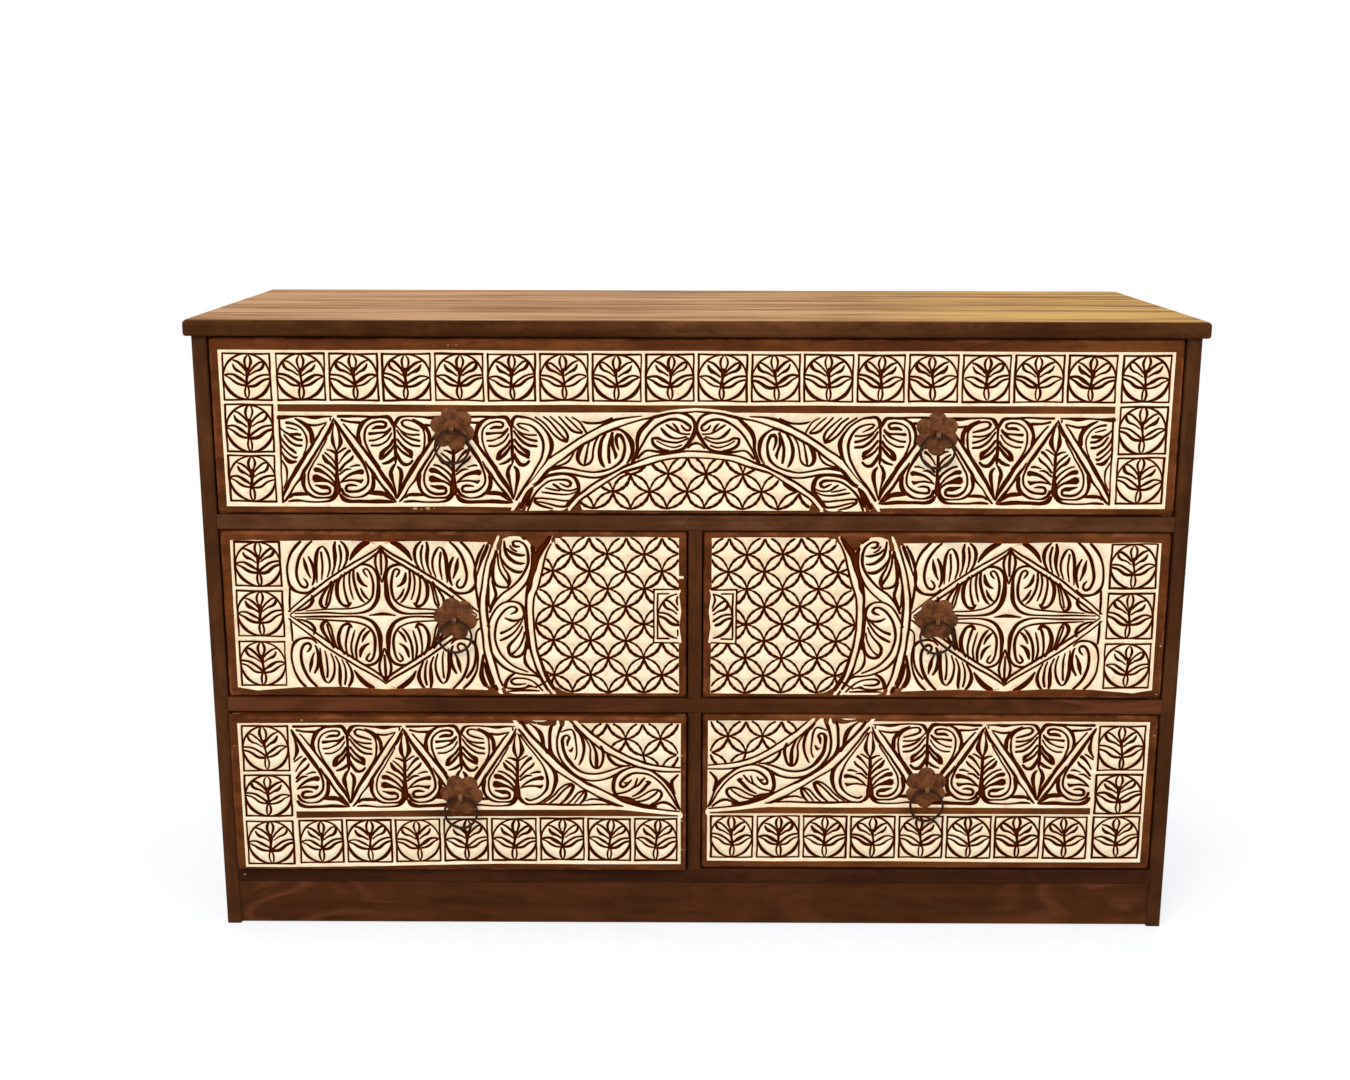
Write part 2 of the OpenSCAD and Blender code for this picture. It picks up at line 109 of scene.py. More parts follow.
class Nodes(Tree):
    """A material's node tree. Its object coordinates are in metres."""

    def __init__(self, name, **sockets):
        self.mat = bpy.data.materials.new(name)
        self.mat.use_nodes = True
        super().__init__(self.mat.node_tree)
        self.out = self.new("ShaderNodeOutputMaterial")
        self.bsdf = self.new("ShaderNodeBsdfPrincipled")
        for key, value in sockets.items():
            self.bsdf.inputs[key.replace("_", " ")].default_value = value
        self.link(self.bsdf.outputs[0], self.out.inputs[0])
        self.coords = self.new("ShaderNodeTexCoord").outputs["Object"]

    def noise(self, scale, detail, rough, place=(0, 0, 0), distortion=0.0, stretch=(1, 1, 1)):
        """Noise moved to a place. stretch has a factor for each axis, and a larger one makes finer marks."""
        mapping = self.new("ShaderNodeMapping")
        mapping.inputs["Scale"].default_value = stretch
        mapping.inputs["Location"].default_value = place
        self.link(self.coords, mapping.inputs["Vector"])
        node = self.new("ShaderNodeTexNoise")
        self.link(mapping.outputs[0], node.inputs["Vector"])
        node.inputs["Scale"].default_value = scale
        node.inputs["Detail"].default_value = detail
        node.inputs["Roughness"].default_value = rough
        node.inputs["Distortion"].default_value = distortion
        return node.outputs["Fac"]

    def grained(self, axis, along, across, scale, detail, rough, place, distortion=0.0):
        """Noise whose marks run along one axis, with a factor along the grain and one across it."""
        stretch = [across] * 3
        stretch["xyz".index(axis)] = along
        return self.noise(scale, detail, rough, place, distortion, stretch)

    def ramp(self, value, low, high, a=0.0, b=1.0):
        """value from low..high onto a..b, held at the ends."""
        node = self.new("ShaderNodeMapRange", clamp=True, interpolation_type="SMOOTHSTEP")
        self.put(node.inputs["Value"], value)
        for key, v in (("From Min", low), ("From Max", high), ("To Min", a), ("To Max", b)):
            node.inputs[key].default_value = v
        return node.outputs["Result"]

    def mix(self, factor, a, b):
        node = self.new("ShaderNodeMix", data_type="RGBA", blend_type="MIX")
        self.put(node.inputs["Factor"], factor)
        self.put(node.inputs["A"], a)
        self.put(node.inputs["B"], b)
        return node.outputs["Result"]

    def tint(self, color, other, strength, value, low, high):
        """color turned to the other one, by up to strength, where value goes from low to high."""
        return self.mix(self.times(self.ramp(value, low, high), strength), color, other)

    def split(self, vector):
        """The x, y and z of a vector."""
        node = self.new("ShaderNodeSeparateXYZ")
        self.link(vector, node.inputs[0])
        return node.outputs

    def attribute(self, name):
        return self.new("ShaderNodeAttribute", attribute_name=name).outputs["Fac"]

    def edges(self, radius):
        """How much a rounded normal leaves the true one: 0 on a flat face, up to 1 at an edge."""
        bevel = self.new("ShaderNodeBevel", samples=4)
        bevel.inputs["Radius"].default_value = radius
        geometry = self.new("ShaderNodeNewGeometry")
        dot = self.new("ShaderNodeVectorMath", operation="DOT_PRODUCT")
        self.link(bevel.outputs[0], dot.inputs[0])
        self.link(geometry.outputs["Normal"], dot.inputs[1])
        return self.ramp(dot.outputs["Value"], 0.99, 0.8)

    def finish(self, color, rough, height, strength, distance):
        """The material with its colour, its roughness, and a bump whose distance is in metres."""
        bump = self.new("ShaderNodeBump")
        bump.inputs["Strength"].default_value = strength
        bump.inputs["Distance"].default_value = distance
        self.link(height, bump.inputs["Height"])
        self.put(self.bsdf.inputs["Base Color"], color)
        self.put(self.bsdf.inputs["Roughness"], rough)
        self.link(bump.outputs[0], self.bsdf.inputs["Normal"])
        return self.mat


# Wood


def wavy_figure(n, axis, color, strength, pale):
    """Wavy pale bands in the grain, strongest near the chest's two ends."""
    swirl = n.grained(axis, 2.6, 7.0, 1.0, 2, 0.4, (4.2, 0, 2.7), 1.6)
    bands = n.math("FRACT", n.times(swirl, 9.0))
    bands = n.times(n.ramp(bands, 0.2, 0.5), n.ramp(bands, 0.95, 0.6))
    from_middle = n.math("ABSOLUTE", n.split(n.coords)[0])
    strong = n.ramp(from_middle, 0.34, 0.5, 0.06 * strength, 0.45 * strength)
    return n.mix(n.times(bands, strong), color, pale)


def top_painted_sheen(n, color, streaks, stain, left, dark, right):
    """The top board's color, with a painted sheen where it faces up: the room's reflection painted in, pale
    from left to right, with dark streaks. Also how much its front edge is rubbed, more so towards the middle."""
    facing_up = n.split(n.new("ShaderNodeNewGeometry").outputs["Normal"])[2]
    x, _, z = n.split(n.coords)
    # painted sheen: the room's reflection on the upper face painted into its colour, pale from left to right
    pale = n.mix(n.ramp(x, -0.1, 0.55), srgb(left), srgb(right))
    sheen_color = n.mix(n.ramp(streaks, 0.36, 0.62), pale, srgb(dark))
    sheen_color = n.tint(sheen_color, pale, 0.45, stain, 0.4, 0.7)
    # how much a face looks up: there the painted sheen takes the place of the stained colour
    level = n.ramp(facing_up, 0.75, 0.97)
    nose = n.times(n.ramp(z, 0.765, 0.771), n.ramp(level, 0.9, 0.3))
    nose = n.times(nose, n.ramp(n.math("ABSOLUTE", x), 0.5, 0.25, 0.05, 0.09))
    return n.mix(level, color, sheen_color), nose


def wood(name, axis, tones, wear_amount, seed, rough=(0.42, 0.62), grain=1.0, edge=0.0025, painted_sheen=None,
         figure=0.0, worn=None):
    """Stained wood with the grain along one axis: streaks, pores, uneven stain, and wear along the edges.
    tones are dark, middle, light and worn. seed moves the pattern, grain is its strength, and edge is how
    far in metres the edges are rubbed. painted_sheen holds the tones of a painted sheen on the upper side,
    the
    reflection painted into the colour: pale at the left, dark streaks, pale at the right. figure is the
    strength of a wavy figure. worn is the vertex attribute that tells where hands have rubbed it, besides the
    sharp edges."""
    # with a painted sheen the gloss is off, since the sheen is painted into the colour instead
    n = Nodes(name, Specular_IOR_Level=0.0 if painted_sheen else 0.04)
    dark, mid, light, wear = (srgb(tone) for tone in tones)
    place = (seed, seed * 1.7, seed * 0.6)
    streaks = n.grained(axis, 1.0, 16.0, 2.6, 6, 0.6, place, 0.35)
    fine = n.grained(axis, 3.5, 144.0, 2.2, 4, 0.65, place)
    pores = n.ramp(n.grained(axis, 12, 416.0, 1.7, 2, 0.5, place), 0.66, 0.78)
    mottle = n.grained(axis, 1.3, 3.2, 16, 5, 0.68, place, 0.4)
    stain = n.noise(5.5, 5, 0.6, place)

    color = n.mix(n.ramp(streaks, 0.32, 0.68), dark, mid)
    color = n.tint(color, light, 0.75, stain, 0.42, 0.72)
    color = n.tint(color, dark, 0.55, mottle, 0.52, 0.36)
    color = n.tint(color, light, 0.5, mottle, 0.56, 0.72)
    if figure:
        color = wavy_figure(n, axis, color, figure, wear)
    rubbed = n.edges(edge)
    if worn:
        rubbed = n.math("MAXIMUM", rubbed, n.attribute(worn))
    # the upper face gets its painted sheen, a painted reflection
    if painted_sheen:
        color, nose = top_painted_sheen(n, color, streaks, stain, *painted_sheen)
        rubbed = n.math("MAXIMUM", rubbed, nose)
    color = n.tint(color, dark, 0.35 * grain, fine, 0.45, 0.75)
    color = n.mix(n.times(pores, 0.55 * grain), color, srgb("170b05"))
    patchy = n.ramp(n.noise(24, 4, 0.62, (3.1 + seed, 0, 1.3)), 0.42, 0.66)
    color = n.mix(n.times(n.times(rubbed, patchy), wear_amount), color, wear)

    height = n.total((streaks, 0.5), (fine, 0.4), (pores, -0.5))
    dull = n.ramp(n.total((fine, 0.6), (stain, 0.4)), 0.3, 0.7, *rough)
    return n.finish(color, dull, height, 0.35 * grain, 0.0006)


def bare_wood():
    """Wood bared by a knock, pale and a little dirty."""
    n = Nodes("bare_wood_fleck", Specular_IOR_Level=0.1)
    small = n.noise(700, 3, 0.6, (3, 0, 1))
    color = n.mix(n.ramp(small, 0.35, 0.65), srgb("8a5a35"), srgb("c39a6c"))
    return n.finish(color, 0.7, small, 0.3, 0.0002)


PINE = ("9a7448", "b98f5e", "c9a271", "d3b283")
# The top board: its last three tones are a painted sheen, the reflection on its upper face painted into its
# colour
TOP_WOOD = wood("top_board_stain_and_painted_sheen", "x", ("3a1f0f", "523019", "633f25", "b06c4c"), 0.9, 2.0, (0.38, 0.52),
                edge=0.004, painted_sheen=("c29b78", "8f6b4f", "d1a967"))
CASE_X = wood("case_wood_level", "x", ("3b1e0d", "502b14", "5d331c", "7b472e"), 0.6, 5.0, figure=0.8)
CASE_Z = wood("case_wood_upright", "z", ("371d0d", "4e2c15", "5e3820", "804b2e"), 0.6, 9.0)
# A paler copy of the level case wood for the upper rail: painted light
RAIL_PAINTED_LIT = wood("case_rail_painted_lit", "x", ("432412", "5b3721", "704a30", "905a39"), 0.8, 7.5)
# A darker copy for the bottom rail under the bottom drawers: painted shade
RAIL_PAINTED_SHADE = wood("case_rail_painted_shade", "x", ("2c1509", "3c1f0f", "4a2816", "74432a"), 0.7, 8.5)
FRONT_WOOD = wood("drawer_face_stained", "x", ("47230d", "683617", "7b4621", "965836"), 0.75, 13.0,
                  worn="worn")
PLAIN_WOOD = wood("plain_pine", "x", PINE, 0.3, 17.0, (0.6, 0.8), 0.6)
PLAIN_Y = wood("plain_pine_deep", "y", PINE, 0.3, 21.0, (0.6, 0.8), 0.6)
FLECK = bare_wood()

# The carving's two finishes. The vertex attribute cut is the depth below the face, in mm


def cream_paint():
    """Pale scrubbed ground of the carving: warm white, rosier and yellower in places, with tool marks."""
    n = Nodes("carved_ground_cream", Specular_IOR_Level=0.2)
    broad = n.noise(26, 4, 0.6, (4, 0, 2))
    small = n.noise(130, 4, 0.65, (1, 0, 7))
    fine = n.noise(420, 3, 0.6, stretch=(1, 1, 3))
    color = n.mix(n.ramp(broad, 0.35, 0.65), srgb("fdf2d5"), srgb("fae5c1"))
    color = n.tint(color, srgb("f3c0a0"), 0.7, small, 0.5, 0.74)
    color = n.tint(color, srgb("d9a77c"), 0.45, fine, 0.62, 0.8)
    color = n.mix(n.ramp(n.attribute("cut"), 0.04, 0.3, 0, 0.85), color, srgb("b9764b"))
    height = n.total((small, 0.6), (fine, 0.4))
    return n.finish(color, n.ramp(small, 0.3, 0.7, 0.5, 0.72), height, 0.5, 0.0005)


def groove_stain():
    """Dark stain left in the cuts, redder at the lip and nearly black at the bottom."""
    n = Nodes("carved_groove_stain", Specular_IOR_Level=0.0)
    small = n.noise(160, 4, 0.6, (3, 0, 5))
    cut = n.attribute("cut")
    color = n.mix(n.ramp(cut, 0.3, 0.95), srgb("8c3d12"), srgb("3c1202"))
    color = n.mix(n.ramp(cut, 2.3, 2.8, 0, 0.7), color, srgb("5c260b"))
    color = n.tint(color, srgb("682a0c"), 0.35, small, 0.55, 0.75)
    return n.finish(color, n.ramp(small, 0.3, 0.7, 0.5, 0.7), small, 0.4, 0.0004)


CREAM, GROOVE = cream_paint(), groove_stain()

# Iron


def forged(name, dark, mid, rust, rough, metal):
    """Hand-forged iron: dull brown-black skin, hammer dents, rust in the hollows."""
    n = Nodes(name, Metallic=metal, Specular_IOR_Level=0.12)
    broad = n.noise(90, 4, 0.6, (2, 5, 1))
    small = n.noise(420, 4, 0.65, (7, 1, 3))
    color = n.mix(n.ramp(broad, 0.35, 0.65), srgb(dark), srgb(mid))
    color = n.tint(color, srgb(rust), 0.6, small, 0.52, 0.75)
    worn = n.times(n.edges(0.0008), n.ramp(small, 0.35, 0.6))
    color = n.mix(n.times(worn, 0.5), color, srgb("8c7260"))
    height = n.total((broad, 0.8), (small, 0.25))
    return n.finish(color, n.ramp(small, 0.3, 0.7, *rough), height, 0.6, 0.0006)


IRON = forged("forged_iron", "472710", "744526", "8d562e", (0.45, 0.7), 0.12)
RING_IRON = forged("forged_iron_ring", "231107", "341b0e", "50301a", (0.4, 0.6), 0.12)
STAPLE_IRON = forged("forged_iron_staple", "4a2c18", "7d5634", "94683f", (0.4, 0.6), 0.2)

# The materials of the CAD nodes

# The upper rail's paler wood is painted light, and the bottom rail's darker wood is painted shade
BOARDS = {"top_board": TOP_WOOD, "rail_upper": RAIL_PAINTED_LIT, "rail_lower": CASE_X, "rail_bottom": RAIL_PAINTED_SHADE,
          "plinth_board": CASE_X}


def node_material(name):
    """The material that a CAD node's name asks for."""
    if name in BOARDS:
        return BOARDS[name]
    if name.startswith(("side_panel", "divider")):
        return CASE_Z
    if name.startswith("runners") or name.endswith(("side_left", "side_right", "base")):
        return PLAIN_Y
    if name.endswith(("plate", "plates")) or "ring" in name:
        return IRON
    return STAPLE_IRON if "staple" in name else PLAIN_WOOD


for name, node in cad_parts.items():
    for slot in node.material_slots:
        slot.material = node_material(name)

# The carving's strokes


def strokes(text):
    """Listed grooves: points 'x z half-width' with commas between, in mm. A line is a groove, and
    one that ends with a comma goes on in the next line."""
    lines = text.strip().replace(",\n", ",").splitlines()
    return [[tuple(float(v) for v in point.split()) for point in line.split(",")] for line in lines]


# A leaf flower in a circle, about the middle of a square frame 56.6 mm wide
TILE = strokes("""
2.1 27.7 .4, -.4 24.3 1.1, -1.7 19.3 1.3, -.9 14.9 1, .4 11.3 .7, 1.9 9.3 .6
3.5 27.1 .4, 5.4 23.8 .9, 6.3 18.8 1.2, 5 13.8 .9, 3.9 9.9 .6
2.1 9.3 1.9, 2.4 4.9 2.1, 1.9 .4 1.4, 1.3 -4 1.1, .8 -8.4 1.6, 1 -11.8 1.2
-16.5 19.9 .7, -11.5 18.4 1.1, -7 15.4 1.3, -3.1 12.1 1.3, -.4 8.8 1.3
-16.3 14.9 .8, -14.6 11 1.4, -11.5 8.2 1.8, -7.6 6.6 1.2, -3.7 4.3 .9, -.9 2.1 .8
-26.5 1 .9, -21.5 2.3 .9, -15.9 2.1 1.1, -11.5 -.1 1.5, -7 -2.9 1.7, -3.1 -5.3 1.2, -.4 -7.3 .9
-26.5 .2 .6, -23.7 -1.2 .7, -19.3 -3.4 .9, -14.8 -6.8 1.3, -10.4 -9.3 1.3, -5.9 -10.7 1.1, -.9 -11.2 1
21.3 20.4 .8, 16.3 18.8 1, 11.9 15.4 1.1, 8 11.6 1, 4.6 7.1 1
21.6 18.6 .9, 20.4 13.2 1.5, 16.9 9.3 1.3, 12.4 7.7 1, 8.5 5.4 .8, 5.2 2.7 .7
26.9 3.4 1, 20.8 2.9 1, 15.2 1 1.2, 10.2 -2.3 1.2, 5.8 -5.7 1.2, 3 -8.4 1.3
27.4 -.7 1, 21.9 -2.3 1.1, 17.4 -5.1 1.3, 13 -9 1.5, 8.5 -10.9 1.4, 3.5 -11.2 1.2
-.4 -12.9 .8, -1.5 -18.4 1, -.6 -24 .9, 1.3 -27.9 .5
2.8 -12.9 .8, 3.9 -18.4 1, 3.5 -24.6 .8, 2.2 -27.9 .4
""")

# Heart palmettes, about the stem's foot; the tip is 105 mm away from it.
# The left and right halves of one that stands up, each with the two grooves beside its leg
UP_LEFT = strokes("""
-5.5 103.3 .5, -5 101.5 .9, -5.4 100 .5
-11.1 95.6 .6, -17.2 88.1 1, -21.5 81.4 1.1, -25.8 75.6 1.3, -31 68.1 1.5, -36.2 61 1.6, -41.6 53.9 1.9,
-45.4 48.1 2, -49.8 41.4 2.3, -54.3 34.2 2, -59.2 26.7 1.75, -63.2 18.9 1.7, -67 11.7 1.4, -69.6 6 1
-1.1 102.4 .6, -4.4 93.9 1.4, -7.9 86 1.9, -12.2 80.3 1.5, -16.5 74.6 1.2, -20.8 68.1 1.1, -25.1 62.4 1.2,
-28.6 56.7 1.3, -33 50.3 1.4, -37.5 43.5 1.5, -42 36.7 1.75, -45.8 29.6 1.3, -50.5 23.9 .9, -55.8 17.4 .8,
-59.5 11 1, -63.2 5.3 1.3, -67 1 .9
-10.8 78.1 .5, -14.4 71.7 .8, -18.6 65.3 .75, -22.2 58.9 .7, -25.1 53.9 .75, -28.6 48.9 .8,
-31.5 43.9 .85, -34.4 38.9 .9, -36.1 33.1 .9, -36.5 27.4 .9, -36 22.4 .9, -34 17.4 1, -30.8 13.5 1.2,
-26.5 11 1.3, -21.5 9.9 1.3, -15.8 10.1 1.3, -11.1 11 1.2, -9.9 13.5 1.2, -10.8 17.1 1.3, -14.4 18.2 2,
-18.6 18.2 2.1, -22.9 19.2 1.5, -28.6 20.6 .6
-41.8 34 1.8, -42.9 28.9 2.1, -43.3 23.1 1.8, -42.6 18.9 1.5, -40.1 13.1 1.3, -35.8 8.9 1.4,
-30.8 6.4 1.1, -25.8 5.4 .9, -17.2 5.3 .8, -10.1 5.6 1.2, -5.8 8.1 1.6, -2.9 12.4 1.8
-60 5.8 .8, -56.5 9 1.4, -49.5 9.7 1.8, -43.5 9.7 1.6, -38.5 9.3 1.2
-62 .6 .7, -56.5 1.4 1.2, -50.1 1.6 1.2, -44.4 1.1 .9, -37.2 .3 .8, -25.8 0 .8, -17.2 .3 .9,
-10.8 1.4 1.3, -5.8 4.2 1.5, -2.2 8.1 1.2
-1.1 59.6 .9, -3.6 61.7 1.5, -7.2 63.3 1, -11.5 63.9 .6
-.8 44.6 1, -2.6 48.9 1, -5.8 53.1 1, -10.1 57.1 1, -14.4 60.3 .8
-1.1 38.9 1, -4.4 43.5 1.2, -8.6 47.4 1.4, -12.9 49.9 2, -15.8 53.9 1.7, -17.2 57.1 1
-1.9 30.3 1.4, -4.4 34.2 1.2, -8.6 38.5 1.1, -14.4 42.8 1, -19.4 45.3 1, -23.6 46.1 .8
-3.3 22.4 .9, -7.2 28.1 1.1, -11.5 32.4 1.2, -17.2 36.4 1.6, -22.2 38.9 2.3, -26.4 39.4 2.6
-3.6 18.9 1, -7.2 22.4 1.1, -11.5 25.3 1.2, -16.5 26.7 1.8, -21.5 28.1 2.8, -26.3 29 3.9
-1 96 .5, -2.2 92 .6, -2.9 87.4 .7, -3.6 82 1.3, -4 76 2, -3.6 72 1.9, -2.6 68.9 1.4, -.3 63 .8
0 62 1.2, 0 55 1.6, 0 47 1.4, 0 38 1.5, -.2 32 1.8, -.4 26 2.4, -.6 20 3.1, -.8 14.5 3.6, -.6 11.5 2.4
""")
UP_RIGHT = strokes("""
.1 100.3 .9, 2.9 94.6 1.7, 6.5 88.9 1.6, 10.8 82.4 1.6, 15.1 75.3 1.8, 19.4 68.9 1.9, 23.6 62.4 2,
27.9 56 2, 31.5 50.3 1.6, 34 44.6 1.3, 36.1 38.9 1.1, 37.6 33.1 1.1, 37.8 27.4 1.1, 36.5 22.4 1,
33.6 18.9 1.1, 30.1 16 1.3, 25.1 13.7 1.4, 19.4 12.8 1.2, 13.6 12.6 1.4, 10.4 13.5 1.4, 9.5 16.7 1.4,
11.1 19.6 1.3, 15.1 20.6 1.3, 19.4 20.6 1.1, 23.6 19.9 .5
10.8 95.3 .8, 15.1 90.3 .9, 20.1 83.9 1, 24.4 78.9 1.4, 27.9 73.1 1.3, 32.2 66.7 1.3, 36.5 60.3 1.4,
40.8 54.6 1.4, 44.4 49.6 1.4, 48.6 43.9 1.5, 52.2 38.9 2, 56.5 31.7 2.2, 60.8 25.3 2.2, 65.1 18.1 1.9,
68.6 11 1.4, 70.5 5.3 1
35 50.5 .6, 37.9 44.6 1.2, 41.5 39.6 1.6, 45.1 33.9 2, 48.6 28.9 1.3, 52.9 22.4 1.3, 56.5 17.4 1.4,
60.1 13.1 1.6, 64.4 7.4 1.6, 67.9 3.1 1.2, 69.6 .5 .8
43.6 32.4 2, 44 26.7 2, 43.6 21.7 2.2, 41.9 16.7 2.2, 38.6 13.1 1.6, 34.4 9.9 1.4, 30.1 7.4 1.2,
23.6 6 .8, 16.5 5.9 .8, 10.8 7.4 1.4, 6.5 10.3 1.6, 4.4 15.3 1.6
38.5 12 1.6, 45.1 11.8 2.2, 50.8 11.6 2.3, 56.5 10.3 2.1, 61.5 7 1.9, 65.5 3.5 1.3
2.9 8.1 1.4, 5.8 3.9 2.1, 10.1 1.7 2.1, 16.5 .6 1.6, 25.1 1 1.6, 36.5 1 1.6, 46.5 1.4 1.9, 56.5 1 1.8,
63.6 .4 1.3, 68 .2 .7
1.5 60.3 .9, 5.8 63.1 .9, 9.4 65.6 .9, 11.9 66.6 .7
2.9 47.4 .6, 5.8 52.4 .8, 10.1 58.1 1.2, 14.4 62.4 1.6, 16.2 63.4 1.7
3.6 38.9 1.2, 7.2 43.5 1.2, 10.8 47.4 1.1, 15.1 50.6 1.3, 18.6 53.9 1.3, 20.1 56.7 .8
3.3 34.2 1, 6.5 36.7 1, 10.1 39.6 1.2, 14.4 40.6 1, 17.4 40.3 .5
16.5 43.1 .5, 20.8 44.6 .8, 25.1 45.6 1.1, 27.9 45.3 .9
4.4 24.2 .9, 7.9 28.1 1, 12.2 31.7 1.2, 17.2 34.6 1.5, 22.9 36.4 1.8, 27.9 37.4 2.3, 29.8 37.3 2.8
6 25 .6, 10.8 26 .9, 15.1 26.9 1.1, 20.1 26.7 1, 25.1 26 1.3, 28.6 25.3 1.9, 30.7 27.3 .9
1 96 .5, 2.6 93 .8, 3.3 90.3 .9, 4.7 83.9 1.2, 6 77.4 2.1, 6 73.1 2.3, 3.6 67.4 1.3, .8 63 .8
""")
# One that hangs: the same way up in this list, put upside down by its place
DOWN_LEFT = strokes("""
-66.6 .1 1.3, -56.5 .1 1.3, -45.9 -.3 1.1, -34.5 -.5 1, -24.5 .3 1.5, -17.4 0 1.2, -10.2 0 1.7,
-5.9 1.1 2, -3.1 5.4 1.9, -.9 9.7 1.7
-62.4 4.7 1.2, -58.1 5.8 1, -53.1 6.7 1, -45.9 6.9 1.2, -40.9 7.2 1.5
-27.4 1.1 1, -31.6 2.9 1.1, -35.9 5.8 1.6, -39.5 9.7 2.2, -42 15.4 1.8, -43.4 21.1 1.7, -43.1 26.9 2,
-41.5 31.5 1.3
-18.8 61.9 .8, -21.6 57.6 .7, -24.5 54 .9, -28.1 49 1, -31.6 42.6 1, -34.1 36.1 .9, -35.9 29.7 1,
-36.2 24.7 1, -35.6 18.3 1, -33.4 13.3 .9, -29.5 9.4 .8, -24.5 6.9 1, -18.8 5.8 1.1, -13.8 6 1.2,
-9.9 7.9 1.3, -9.9 10.8 1.2, -12.4 12.7 1.3, -17.4 12.4 1.7, -22.4 12.9 1.5, -25.9 14.4 .8
-29.9 20.4 1.6, -24.5 20.1 1.2, -18.1 19.4 1, -11.6 19 1.1, -8.1 17.6 1.2, -4.5 14 1
-30.2 29 1, -24.5 28.6 1, -18.8 26.5 .8, -13.8 24 1.1, -9.5 20.4 1.2, -5 16 .9
-28.1 35.2 .9, -20.9 35.1 .9, -15.2 32.9 .8, -10.2 29.7 .8, -6.6 25.4 .8, -3.8 20.4 .8
-18.1 50.4 1.8, -16.6 45.4 2.3, -13.8 41.1 1.8, -9.5 37.6 1.4, -5.2 33.3 1.3, -2.4 28.3 1.2
-15.9 51.1 1.1, -11.6 46.9 1.5, -8.1 43.3 1.6, -4.5 39 1.2, -1.6 34.7 1
-15.2 57.2 .9, -10.2 55.8 1.4, -5.2 53.3 1.6, -2.4 50.4 1.3
-.2 57 .7, -3.1 60.4 1.4, -5.9 66.9 1.8, -5.6 71.9 2.2, -4.1 78.3 1.3, -2.4 85.4 .8, -1 92 .6, -.3 98 .4
0 9 1.9, 0 14 1.4, 0 22 1.2, 0 32 1.5, 0 45 1.8, 0 55 1.2
""")
DOWN_RIGHT = strokes("""
.9 9.7 1.7, 3.1 5.4 1.9, 5.5 1.9 1.9, 9.7 0 1.1, 19.7 -.6 .8, 28.6 -.2 .9, 35.5 .2 1, 42.5 1 1.6,
48.5 1.2 1.8, 55.5 .5 1.2, 62.5 .2 .8, 68 0 .6
23.1 2.9 .7, 28.1 5.4 1.3, 33.1 8.6 1.7, 38.1 12.9 2.2, 41.6 19 2, 42.4 24.7 2.1, 42 31.1 1.8
38.5 10 1.2, 43.8 10.8 1.1, 49.5 10.6 1, 55.9 9 .8, 60.9 7.6 .6
29.7 16.8 .8, 23.1 15.1 1.1, 15.3 12.9 1.3, 10.3 10.1 1.2, 9.2 6.8 1.3, 11.9 4.2 1, 18.6 4.2 .9,
25.3 6.2 1, 30.8 9.6 1, 35.3 15.1 1, 36.5 22 .8, 36.6 26.2 1.1, 35.8 35.1 .9, 33.6 41.8 .9, 29.7 48.4 .8,
25.3 56.2 .7
29.7 21.8 1, 21.9 21.8 1, 14.2 20.1 .9, 8.6 17.3 .9, 5.3 14 .8, 2 10 .8
29.7 29.3 1.2, 21.9 27.3 1.2, 14.2 23.4 1.1, 8.6 18.6 .9
29.7 35.7 1.1, 20.8 34.6 1.3, 13.1 29.6 1.3, 7.5 23.4 1.1, 3.1 16.8 .9
19.7 46.5 1.6, 18.6 43 2.4, 13.1 39 1.6, 8.1 34 1.3, 3.1 27.3 1.2
19.7 49.6 1.1, 11.9 45.1 1.6, 6.4 40.7 1.2, 2.5 35.1 1
20.3 54 1.2, 16.4 57.9 1.4, 9.7 57.9 1.9, 4.2 50.7 1.8, 1.9 45.1 1.4
2.5 60.7 1, 5.8 65.1 1.9, 6.4 72.9 2.2, 4.7 81.8 1.5, 2.5 91.8 1, .6 99 .5
""")
# The hanging one that the left end of the top drawer's field cuts down the middle
CUT_RIGHT = strokes("""
3 1.4 1.8, 7.5 1.2 2.1, 15.5 .7 1.4, 25.5 0 .8, 35.5 .2 1, 42.5 1 1.7, 48.5 1.2 1.9, 55.5 .5 1.2,
62.5 .2 .8, 67.5 0 .6
23.1 2.9 .7, 28.1 5.4 1.3, 33.1 8.6 1.7, 38.1 12.9 2.2, 41.6 19 2, 42.4 24.7 2.2, 42 31.1 2
38.5 10 1.2, 43.8 10.8 1.1, 49.5 10.6 1, 55.9 9 .8, 60.9 7.6 .6
12.4 7.7 1.3, 18.1 8.3 1.2, 23.8 10.1 1, 28.8 13.3 .9, 32.4 17.6 .8, 35.2 23.3 .9, 35.8 29 .9,
34.9 35.4 .7, 33.1 41.9 .6, 30.9 46.9 .8
12.4 13.1 .8, 17.4 14.4 .9, 22.4 15.8 .7, 25 16.5 .4
4.5 14 .8, 7.4 16.9 .8, 10.9 19.7 1.1, 15.2 21.9 1.2, 20.2 21.9 1.5, 24.5 21.7 1.6, 28.2 22.2 1.3
13 21 .9, 18.8 25.4 1.2, 23.8 27.9 1.2, 29.5 28.5 1.1
8.8 22.6 .8, 12.4 27.6 1.1, 16.6 31.9 1.2, 22.4 34.9 1.2, 28.6 35.3 1.2
4 22 .8, 5.6 27.6 .9, 8.8 32.9 1.1, 13.1 37.6 1.2, 17.4 40.8 1.6, 21.2 44.2 1.2
3.5 33 .7, 5.9 37.6 .8, 10.2 42.6 1, 15.2 47.2 1.1, 20.2 50.4 1.4, 22.5 49.6 .9
3.8 42 .8, 6.6 46.9 .8, 9.5 51.1 1.6, 13.1 54.7 2.1, 17.4 55.6 1.6, 21.3 55.1 .9
4.5 53 .6, 7 57.5 .9, 9.6 62.5 1.1, 10.2 68 1.1, 10.1 73 .8, 9.5 78 .7, 7.4 83.3 .7, 5 88 .6
""")

